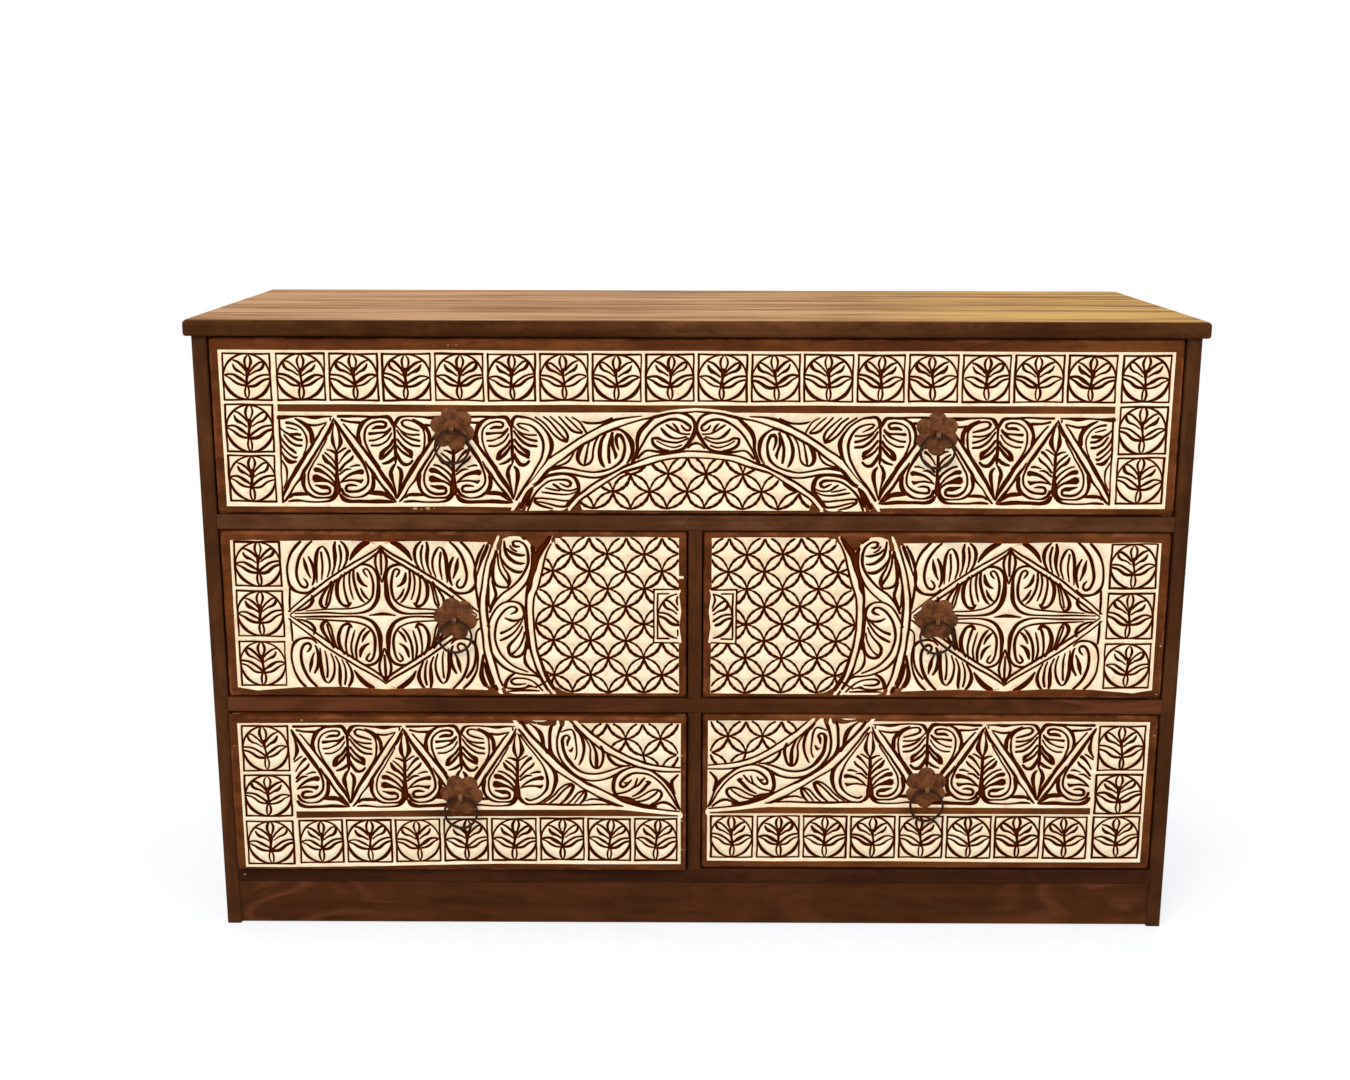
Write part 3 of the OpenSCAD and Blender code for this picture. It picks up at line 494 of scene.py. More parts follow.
# Top drawer, left half: from the last palmette to the middle, in mm from the chest's middle and the floor
TOP_ARCH = strokes("""
-201 644 .4, -207 647 1, -212.5 650 1.2, -215 653 1, -210.5 653.8 .8, -203 652.5 .9, -196 649.5 1.2,
-190 643.5 1.4, -186 636.5 1.5, -184 628 1.5, -184.5 619 1.3, -186.5 611 1.2, -190 604 1.2,
-195 595.5 1.2, -201 586 1.2, -208 576.5 1.4, -214 567 1.6, -218.5 560 1.4
-222 651 1.8, -220 658 1.8, -216 662 1.4, -209 661.5 1.2, -202 660.5 1, -195 657.5 .9, -188 652.5 .9,
-182 646 1, -177 638.5 1.4, -174 630 2.2, -174.5 622 2, -177 614 1.5, -181 606.5 .9, -187 598.5 .6,
-193 591 .4, -199 584 .4, -206 576.5 .5, -209 573 .3
-176.5 611 1, -170 615.5 .9, -160 622 1, -150 629 1.1, -140 635.5 1.1, -131 641 1, -120 647 1,
-113 651 1.1, -105 655 1.6, -97 658.3 1.5, -85 660.8 1, -75 662 .7, -65 662.8 .4
-216 546 1.8, -212 553 2.2, -208 561 2.2, -203.5 569 2, -199 574.3 1, -196.5 575.8 .5
-197 578.3 .6, -191 582 1.2, -185 588.5 1.5, -179 595 1.8, -173 600.5 1.1, -166 606 .9, -160 610 1,
-153 615.5 1.2, -142 624 1.2, -135 628.5 1.3, -128 632 1.3, -122 635.5 1.1, -115 640 1.1, -108 643 1.3,
-100 646.5 1.3, -93 649.5 .9, -85 652.5 .8, -75 655.7 .8, -65 658.5 .8, -57 660 1, -50 661.2 1.5,
-42 663 1.3, -33 665 1, -25 666 .9, -15 666.8 .9, 0 668.3 .7
-198 573 .8, -202 566 1.6, -205 556 1.8, -209 546 1.4
-157 549 1.1, -152 556 1.5, -146.5 562 1.3, -142 566 1.4, -135 571.3 1.3, -128 577 1.2, -120 582.5 1.2,
-112 587 1.3, -105 591 1.3, -95 596 1.2, -85 601.5 1.5, -75 605 1.2, -65 609.3 1, -57 612.3 .9,
-48 614.8 .9, -35 617 1.3, -25 618 1.2, -12 619.3 .9, 0 619.6 .9
-150.5 547 .6, -143 555.5 1, -137 561.5 1, -130 566.5 1, -125 570 1, -115 577 .9, -105 583.5 .9,
-95 590 .8, -88 594 1.2, -80 596.5 1.3, -70 599.5 1.3, -60 602.8 1, -50 606 .9, -40 608.8 .8,
-25 610.7 .7, -10 611.5 .7, 0 611.8 .7
""")
TOP_LEAVES = strokes("""
-193 661 .8, -182 653 .9, -172 640.5 1, -163 633.5 1.2, -156.5 631.5 1.6
-183 661 .8, -175 655 .9, -166 643.5 1, -157.5 634 1
-175 661 .8, -165 652.5 1, -157.5 644.5 1.3, -154.5 638 1.5, -155.5 632 1.3
-165 661 .8, -157 652.5 1, -150 645.3 1.3, -144 642.5 1.2, -138 641.6 1
-157 661 .6, -150 655 .8, -143 648 .8, -137.5 643 .8
-149 660.5 .6, -140.5 655.5 .8, -136 649 1, -132.5 642.5 1
-137.5 656 .5, -132 654.3 1.2, -124 653.5 1.1, -116 654 1.2, -109 656 1.2, -101 660 1
-142 624 .8, -147 620 1, -149.5 613.5 1, -154.5 606.5 1.2, -161 602.8 1, -170 600.8 .6
-137 626.5 1.5, -141.5 619 2.4, -143 610.5 2, -140.5 604.5 1.5, -136 602 .9
-128.5 632 .8, -131 624 .9, -132.5 616 1.2, -134 608 1.3, -134.5 603 .8
-117.5 637.5 .8, -122 630 1, -124.5 620 .9, -125.5 611 1, -129 604.8 1.2, -135 602 .9
-109 641.5 1.2, -114 632.5 1.5, -116.5 622 1.9, -116 611.5 1.8, -113.5 604 1.5, -111 600.5 .7
-100.5 642 1.3, -103.7 633 1.2, -105.5 624 1.3, -105.7 614 1.4, -104.5 606 1.2
-101 637 1.4, -101 628.5 1.5, -98.5 620 1.3, -97 615 1.6, -98 611 .6
""")
TOP_VINE = strokes("""
-177 597 1.7, -168 598.5 1.6, -160 598.8 1.2, -150 597.6 1, -140 595.6 .8, -130 594.2 .8, -122 594 .8,
-113 595.6 1.1, -105 597.8 .9, -97 602 1.1, -90 608.8 1.4, -86.8 617 1.4, -86 626 1.2, -87.5 634 1.4,
-90.5 639.6 1.6, -94.3 640 1.7, -96.3 635 1.5, -95.5 628.5 1.2, -93.3 622 .5
-178 590 1, -168 591.8 .9, -158 591.8 .9, -150 591 1, -140 589 1, -130 587.5 1, -120 587.5 .9,
-110 589.5 1, -103 592 1.2
-100 646 .9, -93 647 1, -86 643.5 1.3, -80.5 637.5 2, -77.2 630 2.4, -76.5 620 1.7, -79 611.5 1.3,
-83 605 .8
-77.5 606.5 .9, -74 615 1, -70.5 624 1.6, -70.5 634 2.2, -67.5 643 2.6, -62 650 2.4, -56 656 2,
-51 660.5 1.6
-77 604 1, -72.5 612 1, -69 620 1, -64.5 628 1.1, -60 636 1.2, -54 644 1.2, -48 650 1.2, -41 654.5 1.3,
-33 658 1.4, -25 658.8 1.4, -17 657 1.3, -10.5 653 1.5, -6.2 649 1.2, -7.3 645.5 1, -11.5 645 1,
-15.5 648 1, -17.7 651.2 .7
-50 661.5 1.6, -40 664 1.2, -30 666 1, -20 666.3 1, -11 664.3 1.4, -5 660 1.5, -1.8 654 1.6, -.6 647 2.1,
-3 640 2.2, -7 633 2, -12 626 1.8, -18 621.5 1.5, -26 619.5 1.5, -36 618.8 1.5, -46 619.3 1.3,
-54 620.6 1, -60 620.5 1, -65 617 1.3, -70 611.5 1.2
-35.5 652 .9, -31 649 1.3, -26 645.5 1, -20 642 .9, -14 640.5 .8, -8 640.5 .8
-28 653.5 .6, -25 650.5 1.2, -22 646 1.1, -20.5 643 .9
-41.5 647.5 .9, -38 643 1.6, -33 638.5 1.5, -27 635.7 1, -20 635.4 .8, -12 637.3 .9
-52 635.5 1, -46 636 1.3, -40 633 1, -32 631 .9, -24 630.3 .9, -17 632 .8, -10 635.3 .8
-47 632.5 .6, -40 628.5 .7, -33 625.7 .7, -26 624.5 .8, -18 627 .9
-52.5 634.5 1.2, -51.5 629 1.6, -47 624.7 1.6, -40 621.7 1.3, -33 620.8 .7
-10 623.3 .6, -5 628 1, 0 629.3 1.2
-196 576 .8, -190 580 1, -184 585.7 1.2, -178 589 1.6, -170 590.5 1.6, -160 591 1.2, -152 589.5 1.3,
-146 586 1.8, -143 580 2.2, -142 573 2, -144 567 2, -149 561.5 1.8, -154 556.5 1.5, -158 551 1.2
-204.5 547 .9, -201 556 1.5, -197 565 1.3, -191 572 1.1, -185 577.5 1, -178 582 1.1, -170 583.8 1,
-162 584 1.2, -155.5 583.4 1.5, -151.2 580 1.6, -152 576.4 1.2, -155.7 575.3 1.1, -160 577.3 1.1,
-164.5 579.6 .5
-172.5 578.5 .9, -168 575.5 1.3, -164 572.3 1, -158 570.7 .8, -150 571 .8, -144.5 573.3 .8
-182 574 .6, -173 571.8 .9, -165 570.3 .6
-187 569 .7, -180 568 1.2, -170 566.3 1.1, -160 565.6 .9, -152 566.6 .8, -145 569.8 .7
-195 561.3 1.2, -188 561.5 1, -180 560.4 1, -170 559.3 1, -160 558.2 1, -152 559 1, -146 562.2 1
-192.5 557.3 .6, -185 555.6 .8, -175 553 .9, -168 551.4 1, -160 551 1.1, -154 552.6 1.1
-195 561.3 1.3, -195.7 557.5 1.5, -192 554 1.3, -186 551 1.2, -180 549.5 1, -174 548.3 .5
""")

# Middle drawer, left one: the bands and scrolls between the diamond and the lattice
MIDDLE_BANDS = strokes("""
-172 514.5 .3, -174.5 509 .7, -180 499 .9, -184 489 1, -187 475 1, -190.5 461 1, -193.5 450 1,
-197.3 440 .9, -199.3 428 1, -199.3 408 1, -198.3 390 1, -195.6 371 1.3, -190.2 351 1.6, -183.5 333 2.2,
-174 317 2, -170 311 .8
-177.5 514.5 1.6, -184 504 2.6, -191.5 494 3.6, -195 485 3, -197.5 474 2.4, -202 461 2.3, -204.5 450 2.7,
-207.5 440 1.4, -208 428 1.3, -207.8 408 1.3, -206.5 390 1.2, -203.5 370 1.2, -199 352 1, -192.7 334 1.6,
-184.5 320 1.4, -178.5 311 .6
-244 517 .4, -248 505 1, -253 491 1, -258 475 .9, -261.3 460 .9, -263.3 448 1, -266 430 1.2,
-265.8 408 1.2, -263.8 390 1.2, -261.8 370 1.1, -258.3 350 1.5, -253 330 2, -247 318 2, -243.5 310.5 .5
-237 515 1.2, -241.5 503 1.7, -245 490 1.7, -249.8 476 1.9, -253.5 461 1.2, -255.4 448 1.3,
-257.4 430 1.5, -256.6 410 1.5, -255.2 392 .9, -253.2 372 1, -248.8 352 1.4, -244 333 1.2, -239 321 1.2,
-236.5 311.5 .6
-253 504 1.3, -258.5 492 2, -264 478 1.2, -268 465 .6
-258.5 503 .7, -264.5 491 1.5, -269 478 1.3, -271.5 465 1, -270.5 452 1.1, -269 438 1.2, -267.5 424 1
-265 398 1, -271 392 .8, -272.5 378 1, -272 362 1.2, -274 350 1.2, -278.5 340 1.3, -284 333 1.2
-263 362 1.1, -265 348 1.6, -266 336 2.4, -262.5 326 2.4, -257 319 1.6, -254 312 .8
-262 352 1, -258.8 338 1.6, -254.5 326 1.6, -250 316 1.2
""")
MIDDLE_SCROLLS = strokes("""
-212 512 1, -204 507 1.3, -200 500 2, -198.5 490 2.4, -199 478 2.4, -202 466 2, -207 456 1.4,
-213 448.5 1, -220 441.5 1, -227 435 .9, -232 431.8 .8
-215 501 .5, -219 500.5 1.2, -223 503 1.5, -223.6 506.7 1.2, -219.5 508 1, -214 506.7 1, -209 502.7 1.1,
-206 496.5 1.3, -204.7 488 1.5, -205.5 479 1.4, -209 470.5 1.3, -214.5 462 1.2, -221 454.5 1.1,
-229 447.7 1, -237 441.7 1, -243.5 435 1.1, -249 427 1.2, -253.5 418 1.2
-238 509 1, -238.5 499 1.3, -238.5 489 1, -234.5 481 1.2, -229.5 474.8 1.5, -222 470 1.8, -215 469 1.5,
-212 470.5 .6
-234 508 .8, -233.5 500 1.3, -231.5 492 1.5, -227 486 1.7, -220.5 481.3 1.5, -214 479.6 1.2, -209.5 480 .5
-231 498.5 .8, -227 494.5 1.3, -220 491.3 1.5, -213 490.2 1.3, -209 490.5 .6
-227 502 .8, -224 497.5 .9, -219 495 .7
-242 492 1, -241 478 1, -237.5 467 1.1, -231.5 457.5 1.3, -229 452 .9
-239 489 .7, -235 475 .9, -229.5 465.5 1.3, -228 457 1.8, -230.5 450.5 1.1
-246 483 1.4, -248.5 470 1.8, -248.3 459.5 1.6, -245 452.3 1.4, -238 449.8 1.2, -230.5 449.7 1
-254.5 456 .8, -255.5 443 1.8, -255 431 1.4, -253.5 424 .8
-250 457 .7, -247 447.5 1.6, -245.5 439.5 1.6, -249 430.5 1.3, -253 422.5 1
-257 400 1, -253 410 1, -248 419 1, -242 426 .9, -235 430.5 .9, -228 432 .9, -220 431 1, -214 427 1.4,
-210.5 420 1.8, -209.5 410 1.6, -208.6 398 1.4, -207.6 385 1.6, -206.6 372 1.3
-227.5 415.3 .5, -223 417 1.2, -219.5 420 1.5, -221 424 1.2, -226 425.2 1, -232 422.5 1.2, -238 417 1.2,
-243.5 409 1.2, -247 399 1.3, -248.3 388 1.3, -246.5 376 1.2, -242 365 1.2, -235 356.3 1.1,
-227 349.7 1.1, -218 344.7 1, -208 340.6 .7
-255 400 1, -256 390 .9, -255 378 1, -252.5 366 1.2, -247 356 1.5, -239 347.5 1.4, -229 342 1.2,
-220 338.7 1, -209 336.7 1, -199 335.7 1.2, -193 332.5 1
-235 410.5 .5, -229 407.7 1.3, -222 406.8 1.2, -217 408.5 .7
-240.5 391 1.6, -233 394 1.3, -226 398.5 1, -220 403.5 1, -215 409.5 1
-241 381.3 1, -233 385 1.4, -225.5 390 1, -219.5 397 .9, -214.5 405 .9, -212 413 .8
-230 366 1.2, -231.3 372 1.8, -228 378 1.5, -222.5 383.5 1.1, -217 391 .9, -213.5 399 .9
-227.5 363.5 1.4, -222 368 .8, -216.5 375 .9, -212.5 384 .9, -211 392 .8
-231 367.5 1.8, -228.5 362 1.6, -222 360.2 1.5, -215 363 1.5, -210.5 370 1.5, -208.6 380 1.5
-208.5 372 1, -211 362 1, -210.3 352.5 1.6, -206 345.3 1.2, -199 339.3 1, -194 334.8 .8
-237 318 1.8, -235.5 327 1.8, -231 334.5 1.5, -225 338.8 1
-211 325 .5, -219 324.3 1, -226 325 1.2, -229.3 328.2 1.3, -226.5 331.7 1.1, -219 332.6 .9, -210 331.6 .8,
-202 328.2 .8, -195 322.3 .9, -189.5 316.5 .8
-233.5 319.8 .9, -222 318.3 1.3, -212 319.6 1, -207 322 1.6, -203 321.5 .9, -197 320 .5
-233 315.6 .6, -220 316.2 1, -206 316.4 1, -194 316.2 .6
-184 329 .8, -190.5 324.5 .9, -198 321 .7
""")

# A quarter of the middle drawer's diamond, the upper left one, about the diamond's middle
QUARTER_IN = strokes("""
-109 2.2 .5, -75 2.6 1, -54 2.1 .8, -35 2 .8, -23 4 1.2, -14 9 1.6, -8 18 2, -5.3 28 2.3, -4.8 43 1.7,
-5.6 54 1.3, -10 62.5 1.2, -17 66.3 1.2, -24.5 66.5 1, -31 63.5 .8
-18 51 .5, -21 55 1, -22.6 59.5 .8, -19.4 61.6 .8, -15.3 58.3 1, -12.5 50 1.1, -11.2 38 1.3, -12.6 26 1.2,
-17.6 17.6 1, -26.5 12 .8, -39.5 9 .8, -59.5 7.5 .7, -79.5 6.4 .7, -95 5.5 .4
-30 55.5 .9, -28.2 47 1.9, -24 41 1.4, -19 38 .6
-27 35.5 .6, -24 28 1.4, -19.5 22.5 1, -17 20.5 .5
-34.5 60.5 .9, -35 48 1.3, -33 36 1.3, -29 25.5 1.3, -25 19.5 1.1, -22.5 17 .5
-49.5 52.5 1, -55 41 1.9, -56 29 1.9, -53.5 19.5 1.6, -49 13.3 1.3, -43 12 1.6, -39.5 16 1
-45.5 55.5 .6, -47.3 43 .9, -46.3 31 1, -44 21 1.2, -41.5 14.5 1
-38.5 59 .9, -40.5 47 1, -40 37 .9, -38 28 .9, -36 21 .5
-62.5 44 .8, -69 33 1, -74.5 23.5 1.4, -76.5 15.5 1.8, -73.5 9.8 1.4, -69 9 .8
-61.5 43 .7, -64.7 33 .9, -67.5 23 .9, -69.8 13 .9
-58 46 .6, -61 36 .9, -63.3 26 .9, -65.2 16.5 1, -68.5 10.3 .9
-87 25.5 .8, -85.5 19.5 1.5, -90 12 1.3, -98 7.5 1, -106 5.5 .5
""")
QUARTER_OUT = strokes("""
-94 97 .8, -102 90 1.4, -109 81 1.3, -114 69 1, -116 54 1, -114.5 41 1.2, -110.5 34 1.7, -104 30 1.1,
-95 29 1.3, -88.5 31 1, -84 35.5 .9
-81 97 .8, -90 88.5 1.2, -97.5 78.5 1.4, -102.3 66.5 1.4, -104.3 53.5 1.3, -102.8 43.5 1.2, -98.8 37 1.2,
-93.8 36 1.2, -91.3 39.5 1, -93.3 44.5 1, -96 47 .5
-94.5 73 .5, -92.5 63 1.8, -90.5 55 1.2, -87.5 48 .6
-88.5 74 .9, -84.5 66 1.5, -82.5 55 1.5, -83.5 44.5 1.3, -85.8 39 .7
-80 42.5 .5, -79.7 53.5 1, -80 66 1.6, -78.7 77 1.6, -75.7 85 1, -72 87.5 .5
-74 46 .5, -72.3 56.5 .9, -72 68 .9, -73 80 1
-66.5 49.5 .7, -63.2 60.5 1, -63.5 72.5 1.2, -67 82.5 1.4, -71 87.5 .7
-61 53 .7, -57.2 63 1, -56.5 75 1.8, -57.2 86 1.6, -56 93 .9
-53 57.5 .6, -50 67 .9, -49.2 79 1.2, -51 89 1
-47.5 59.5 .8, -42.7 69.5 1.2, -41.3 80 1.7, -44.3 89 1.4, -49 94 .8
-38 71 .8, -32.5 80 2.2, -24 88.5 2.6, -14 94.5 2, -8 97 .8
""")
DIAMOND_MID = strokes("""
-.6 89 .8, -5 80.5 1, -7.2 70.5 1.3, -5.5 60.5 1, -2.3 50.5 1, -.5 44 .6
.6 89 .8, 5 80.5 1, 7.2 70.5 1.3, 5.5 60.5 1, 2.3 50.5 1, .5 44 .6
0 88 .8, .2 74 1.2, -.3 54 .9
""")
DIAMOND_SIDES = strokes("""
-115 1 .6, -101 11 1, -84 24.5 1.1, -64.5 39 1.2, -40 57 1.2, -14.5 74 1.1, 0 85.5 1.4
-117 5 .7, -101 19.3 .8, -84 33 1, -64.5 48.3 1, -40 65 1, -14.5 80.8 1, -5 87.5 .8, 0 92 .5
""")

# Bottom drawer, left one: the bands and scrolls from the last palmette to the drawer's inner end
BOTTOM_ARCH = strokes("""
-212 177 1.1, -207.5 174.8 1.2, -201 176.5 1, -195 179.5 1, -190 184 1.1, -186 190 1.5, -184.4 197 1.6,
-185 204 1.5, -187 212 1.2, -190 220 .9, -195 228.5 .8, -201 237 .8, -207 245 .8, -213 254 .8, -218 262 1
-221 180 1.8, -217.5 174.5 1.8, -212 170.5 1, -203 169.2 .8, -195 171 .9, -189 175 1, -182 180.5 1,
-178 187 1.3, -175.5 194 1.8, -174 202 2.2, -175 210 2, -178.5 217 1.6, -183 222.5 1.3, -189 229 1.1,
-195 236.5 1, -202 245 1, -208 253 1, -214 262 1.2, -219.5 269 1.1
-178.5 217 1.2, -170 211 .9, -160 204.5 .9, -150 198 .9, -140 191 .9, -130 185 .9, -121 179.5 1,
-114 175.3 1.7, -105 171.3 2, -97 168.8 1.4, -90 167.5 .6
-216.5 279 1.4, -211 270.5 1.7, -205 262.5 1.5, -198 254.5 1.4, -190 246 1.6, -182 238 1.8, -175 230 1.7,
-168 222.5 1.6, -160 214.5 1.2, -150 207 1.1, -142 202 1.2, -133 197 1.6, -125 193.3 1.2, -115 188.3 .9,
-105 183.2 1, -98 179.5 1.3, -90 175 1.5, -82 171.5 1.3, -72 168 1.2, -62 165.8 1.4, -52 164 1.1,
-40 162.4 .8, -28 161 .8, -19 160 .7
-158 283 1, -150 274 1.5, -146 268.5 2, -140 263 1.6, -133 257 1, -125 250 1, -118 244 1, -110 238.7 1,
-100 233.5 1.1, -92 229 1.2, -84 225 1.3, -76 221.5 1.1, -68 219 1, -60 217 1, -52 215.2 1, -42 213.6 .9,
-30 212.9 .8, -18 213 .7
-147 282.5 .6, -140 275 1, -133 268.3 1.1, -128 263.5 1.3, -120 257.5 1, -112 251.5 1, -105 246.7 1,
-98 242 1.2, -90 237.3 1, -80 232 1, -70 228 1.1, -62 225.3 1.3, -52 222.6 1, -42 220.6 .9, -30 219.2 .8,
-18 218.4 .8
-190 171 .7, -183 175.5 .9, -176 182 1, -170 189 1, -163 194.5 1, -155 196.5 1.2, -152 194 1.9,
-154 188 2, -158 181.3 1.8, -163 175.3 1.4, -169 170.3 .9
-182 171 .7, -175 176.3 1, -168 184 1, -162 190 1, -155.5 194.7 1.2
-160 170.5 .7, -155 174.3 .9, -150.5 180 1, -146 185 1, -140 187 1.2, -136 186 1.3, -137 180 1.6,
-140 174.5 1.4, -144 170.5 .9
-151 171 .7, -147 176 .9, -142 182 1, -138.5 186 .9
-137 174 .5, -130 176.2 .9, -122 176 .9, -115 174.3 .8
-212 169.5 .8, -190 169 1, -165 168.6 1.2, -140 168.4 .9, -120 169 .8, -105 169 .7
""")
BOTTOM_VINE = strokes("""
-207 279.8 .8, -199 276.8 1.5, -190 275 1.7, -182 275.4 1.7, -177.5 278 1.4
-206.5 277 .6, -199 271 1.4, -193 264 2.5, -190 255 2.3, -188.5 246 1.8, -184.5 238 1.5
-178 276 1.4, -180 268 1.6, -181 258 1.5, -181 248 1.6, -180 240 1.8, -177 233 1.8, -171 226.5 1.4
-165 283 1.6, -166 274 2, -169.5 264 1.4, -171.6 254 1.2, -171.8 244 1.2, -170 235 1.2, -166 226.5 1.2,
-160 218.3 1.2, -153 211.3 1.2, -145 205.6 1.2, -137 202.5 1.1, -127 201.2 1, -117 202 1, -108 204.5 1.1,
-101 207.5 1.6, -97 209.5 1.8
-158.5 247 .5, -158 253.5 1.6, -155.6 258.5 1.2, -157.8 261 .9, -162 260.4 1.2, -164.6 256 1.8,
-164.6 248 1.6, -163.4 240 1.6, -160.4 232 1.8, -156 225.5 2, -151 219.2 1.6, -145 214.6 1.3,
-137 211.2 1.1, -128 210.2 1, -118 211.3 1, -108 214.1 1, -98 217.8 .9, -90 220.2 .7
-166 265.3 .7, -160 267.8 1, -153 268.6 1, -149.5 263 1.2, -148 252 1, -147 243 .9, -147.5 235 .9,
-149.7 229 .8
-157 241 .5, -154.5 240 1.5, -152 244.5 .7
-146 268.3 1.5, -141.5 261.5 1.5, -138.5 252 1.6, -137.8 243 1.4, -139.5 233 1.2, -143 225 1.1,
-144.7 221.5 .5
-141 264.5 1, -136 257 .8, -132 250 .8, -130 243 .9, -130.4 233 1, -129.5 225 1.3, -127 219.7 1.2,
-122.5 217.8 1.3, -118 220 1.3, -115.5 226 1.3, -114 235 1.6, -114.5 242 1.6, -116.5 246.5 1.2
-137 261 .8, -130 254 1, -125.5 246 1.2, -123 238 1.5, -122.5 229 2, -122.5 221 1.8
-109.5 239 .9, -107.5 233 1.4, -104 227.3 1.6, -98 222.7 1.4, -90 220.9 1, -82 221.3 .8
-52 213.8 1.2, -60 217.3 .9, -68 219.3 .9, -78 219.3 .9, -87 216 1.1, -95 211 1.5, -99.5 204 1.8,
-101.3 196 1.8, -101 188.5 1.7, -98.5 183 1.5, -95 179.5 1.2
-52 213.5 1.2, -45 208 1.5, -38 201.7 1.8, -32 195 2.2, -27.5 186.5 1.3, -24 178 1.1, -21 170 1,
-18 162.5 .9
-79.5 202.3 .8, -84 196.6 1.2, -88.5 193 1.3, -92 193.6 1.5, -92.6 198.3 1.4, -89 203.5 1.5, -84 208 1.6,
-77 211.4 1.2, -69 212 1, -60 210.5 1, -52 206.6 .9, -45 200.7 1, -38 193 1, -32 184.7 1, -27 176.3 1,
-23 168.7 1, -20 163.5 .7
-88.5 199.8 .4, -86.5 198.2 .9, -84 199.8 .4
-96.5 184 .9, -91.5 185 1, -85 187 1, -79 190.5 1, -74.5 194.7 1.1, -73.3 199 1, -71.5 204.2 .8
-76 192 .7, -70 196 1, -66 201 1.2, -62.5 205.2 .8
-78 180.7 .7, -71 184.2 1.2, -65 189.5 1.7, -60 195.5 1.7, -55.8 199.6 1.7, -60.5 200.3 .7
-78 177 .8, -70 179 1, -63 183 1, -56 187.4 1.1, -49 189 1.2, -43 187.3 1.5, -41 183 1.6, -44 177 1.5,
-49 172.6 1.2, -55 169.5 1
-74 173.6 .7, -66 174.1 .9, -58 177.1 1, -51 182 1, -46.5 186.3 .9
-98 180.5 1, -90 178 2.4, -82 175.8 3, -75 172.4 2.2, -68 169.6 1.4, -60 168 1.3, -52 167 1.3, -48 166.5 .8
-56 167.6 1, -48 169.5 1, -42 172.2 1.3, -35 171.5 1.4, -29 168.2 1.2, -23.5 163.3 1
-20.5 208.5 1, -25 203.7 1.5, -28 199.3 2, -27 192 1.5, -24.5 184 1
""")

# The carving's layout, in mm from the chest's middle and the floor

TILE_HALF = 28.3  # half the width of the square frame that TILE is drawn for
RING_R, LEAF_REACH = 27.9, 27.5  # the radius of the ring in it, and how far out its leaves may go
FRAME_STEPS, RING_POINTS = 4, 40  # the steps along a frame's side, and round a ring
HEART_WIDE, HEART_HIGH = 70.7, 105.0  # half a palmette's width, and its height, as the strokes have them
SIDE_TILES = (-565.8, -509.8)  # the column of squares at the left end of the top drawer
ARCH_EDGE, BAND_EDGE, LOW_EDGE = TOP_ARCH[-1], MIDDLE_BANDS[0], BOTTOM_ARCH[5]  # where the lattices end
INNER_END = -20.5  # where the carving of a left one of two drawers ends
PETAL_HALF, PETAL_STEPS = 5.5, 12  # half a lattice petal's width, and the steps along it
PETAL_SHORT, PETAL_LONG, PETAL_RISE = 26, 39, 12  # a petal's least and greatest length, and its least rise


def put(groups, ox=0.0, oz=0.0, sx=1.0, sz=1.0):
    """Strokes scaled about (0, 0), then moved by (ox, oz). A negative scale mirrors."""
    return [[(ox + x * sx, oz + z * sz, w) for x, z, w in s] for s in groups]


def mirror(groups):
    return put(groups, sx=-1)


def mirrored(outline):
    """An outline or a line from right to left, as its mirror image."""
    return [(-x, z) for x, z in outline[::-1]]


def square_frame(rng):
    """A square's four grooves, each a little out of line."""
    f = TILE_HALF
    corners = [(-f, -f), (f, -f), (f, f), (-f, f), (-f, -f)]
    out = []
    for (ax, az), (bx, bz) in zip(corners, corners[1:]):
        width = rng.uniform(0.65, 1.05)
        drift = rng.uniform(-0.3, 0.3)
        side = []
        for i in range(FRAME_STEPS + 1):
            x = ax + (bx - ax) * i / FRAME_STEPS + (drift * i / FRAME_STEPS if ax == bx else 0)
            z = az + (bz - az) * i / FRAME_STEPS + (drift * i / FRAME_STEPS if az == bz else 0)
            side.append((x, z, width * rng.uniform(0.85, 1.15)))
        out.append(side)
    return out


def ring_groove(rng):
    """A square's ring, wider towards the corners, and most so in its lower half."""
    px, pz, heavy = rng.uniform(-0.2, 0.7), rng.uniform(-0.4, 0.4), rng.uniform(0.8, 1.2)
    out = []
    for i in range(RING_POINTS + 1):
        t = 2 * math.pi * i / RING_POINTS
        w = 0.6 + (1.0 if math.sin(t) < 0 else 0.45) * heavy * math.sin(2 * t) ** 2
        out.append((px + RING_R * math.cos(t), pz + RING_R * math.sin(t), w))
    return out


def leaf_flower(rng):
    """TILE's leaves, turned, grown, shifted and sometimes turned over, but kept inside the ring."""
    turn, grow = math.radians(rng.uniform(-3.5, 3.5)), rng.uniform(0.96, 1.03)
    flip, shift = rng.choice((1, 1, -1)), rng.uniform(-2.4, -0.4)
    c, s = math.cos(turn) * grow, math.sin(turn) * grow
    out = []
    for stroke in TILE:
        dx, dz, wider = rng.uniform(-0.5, 0.5), rng.uniform(-0.5, 0.5), rng.uniform(0.8, 1.15)
        moved = []
        for x, z, w in stroke:
            x += shift * (1 - abs(x) / 30)
            near = min(1.0, LEAF_REACH / max(math.hypot(x, z), 1.0))
            moved.append(((x * c - z * s) * flip * near + dx, (x * s + z * c) * near + dz, w * wider))
        out.append(moved)
    return out


def tile(x0, x1, z0, z1, rng):
    """A square along x0..x1 and z0..z1: frame, ring and leaf flower. No two are quite alike."""
    out = square_frame(rng) + [ring_groove(rng)] + leaf_flower(rng)
    full = 2 * TILE_HALF
    return put(out, (x0 + x1) / 2, (z0 + z1) / 2, (x1 - x0) / full, (z1 - z0) / full)


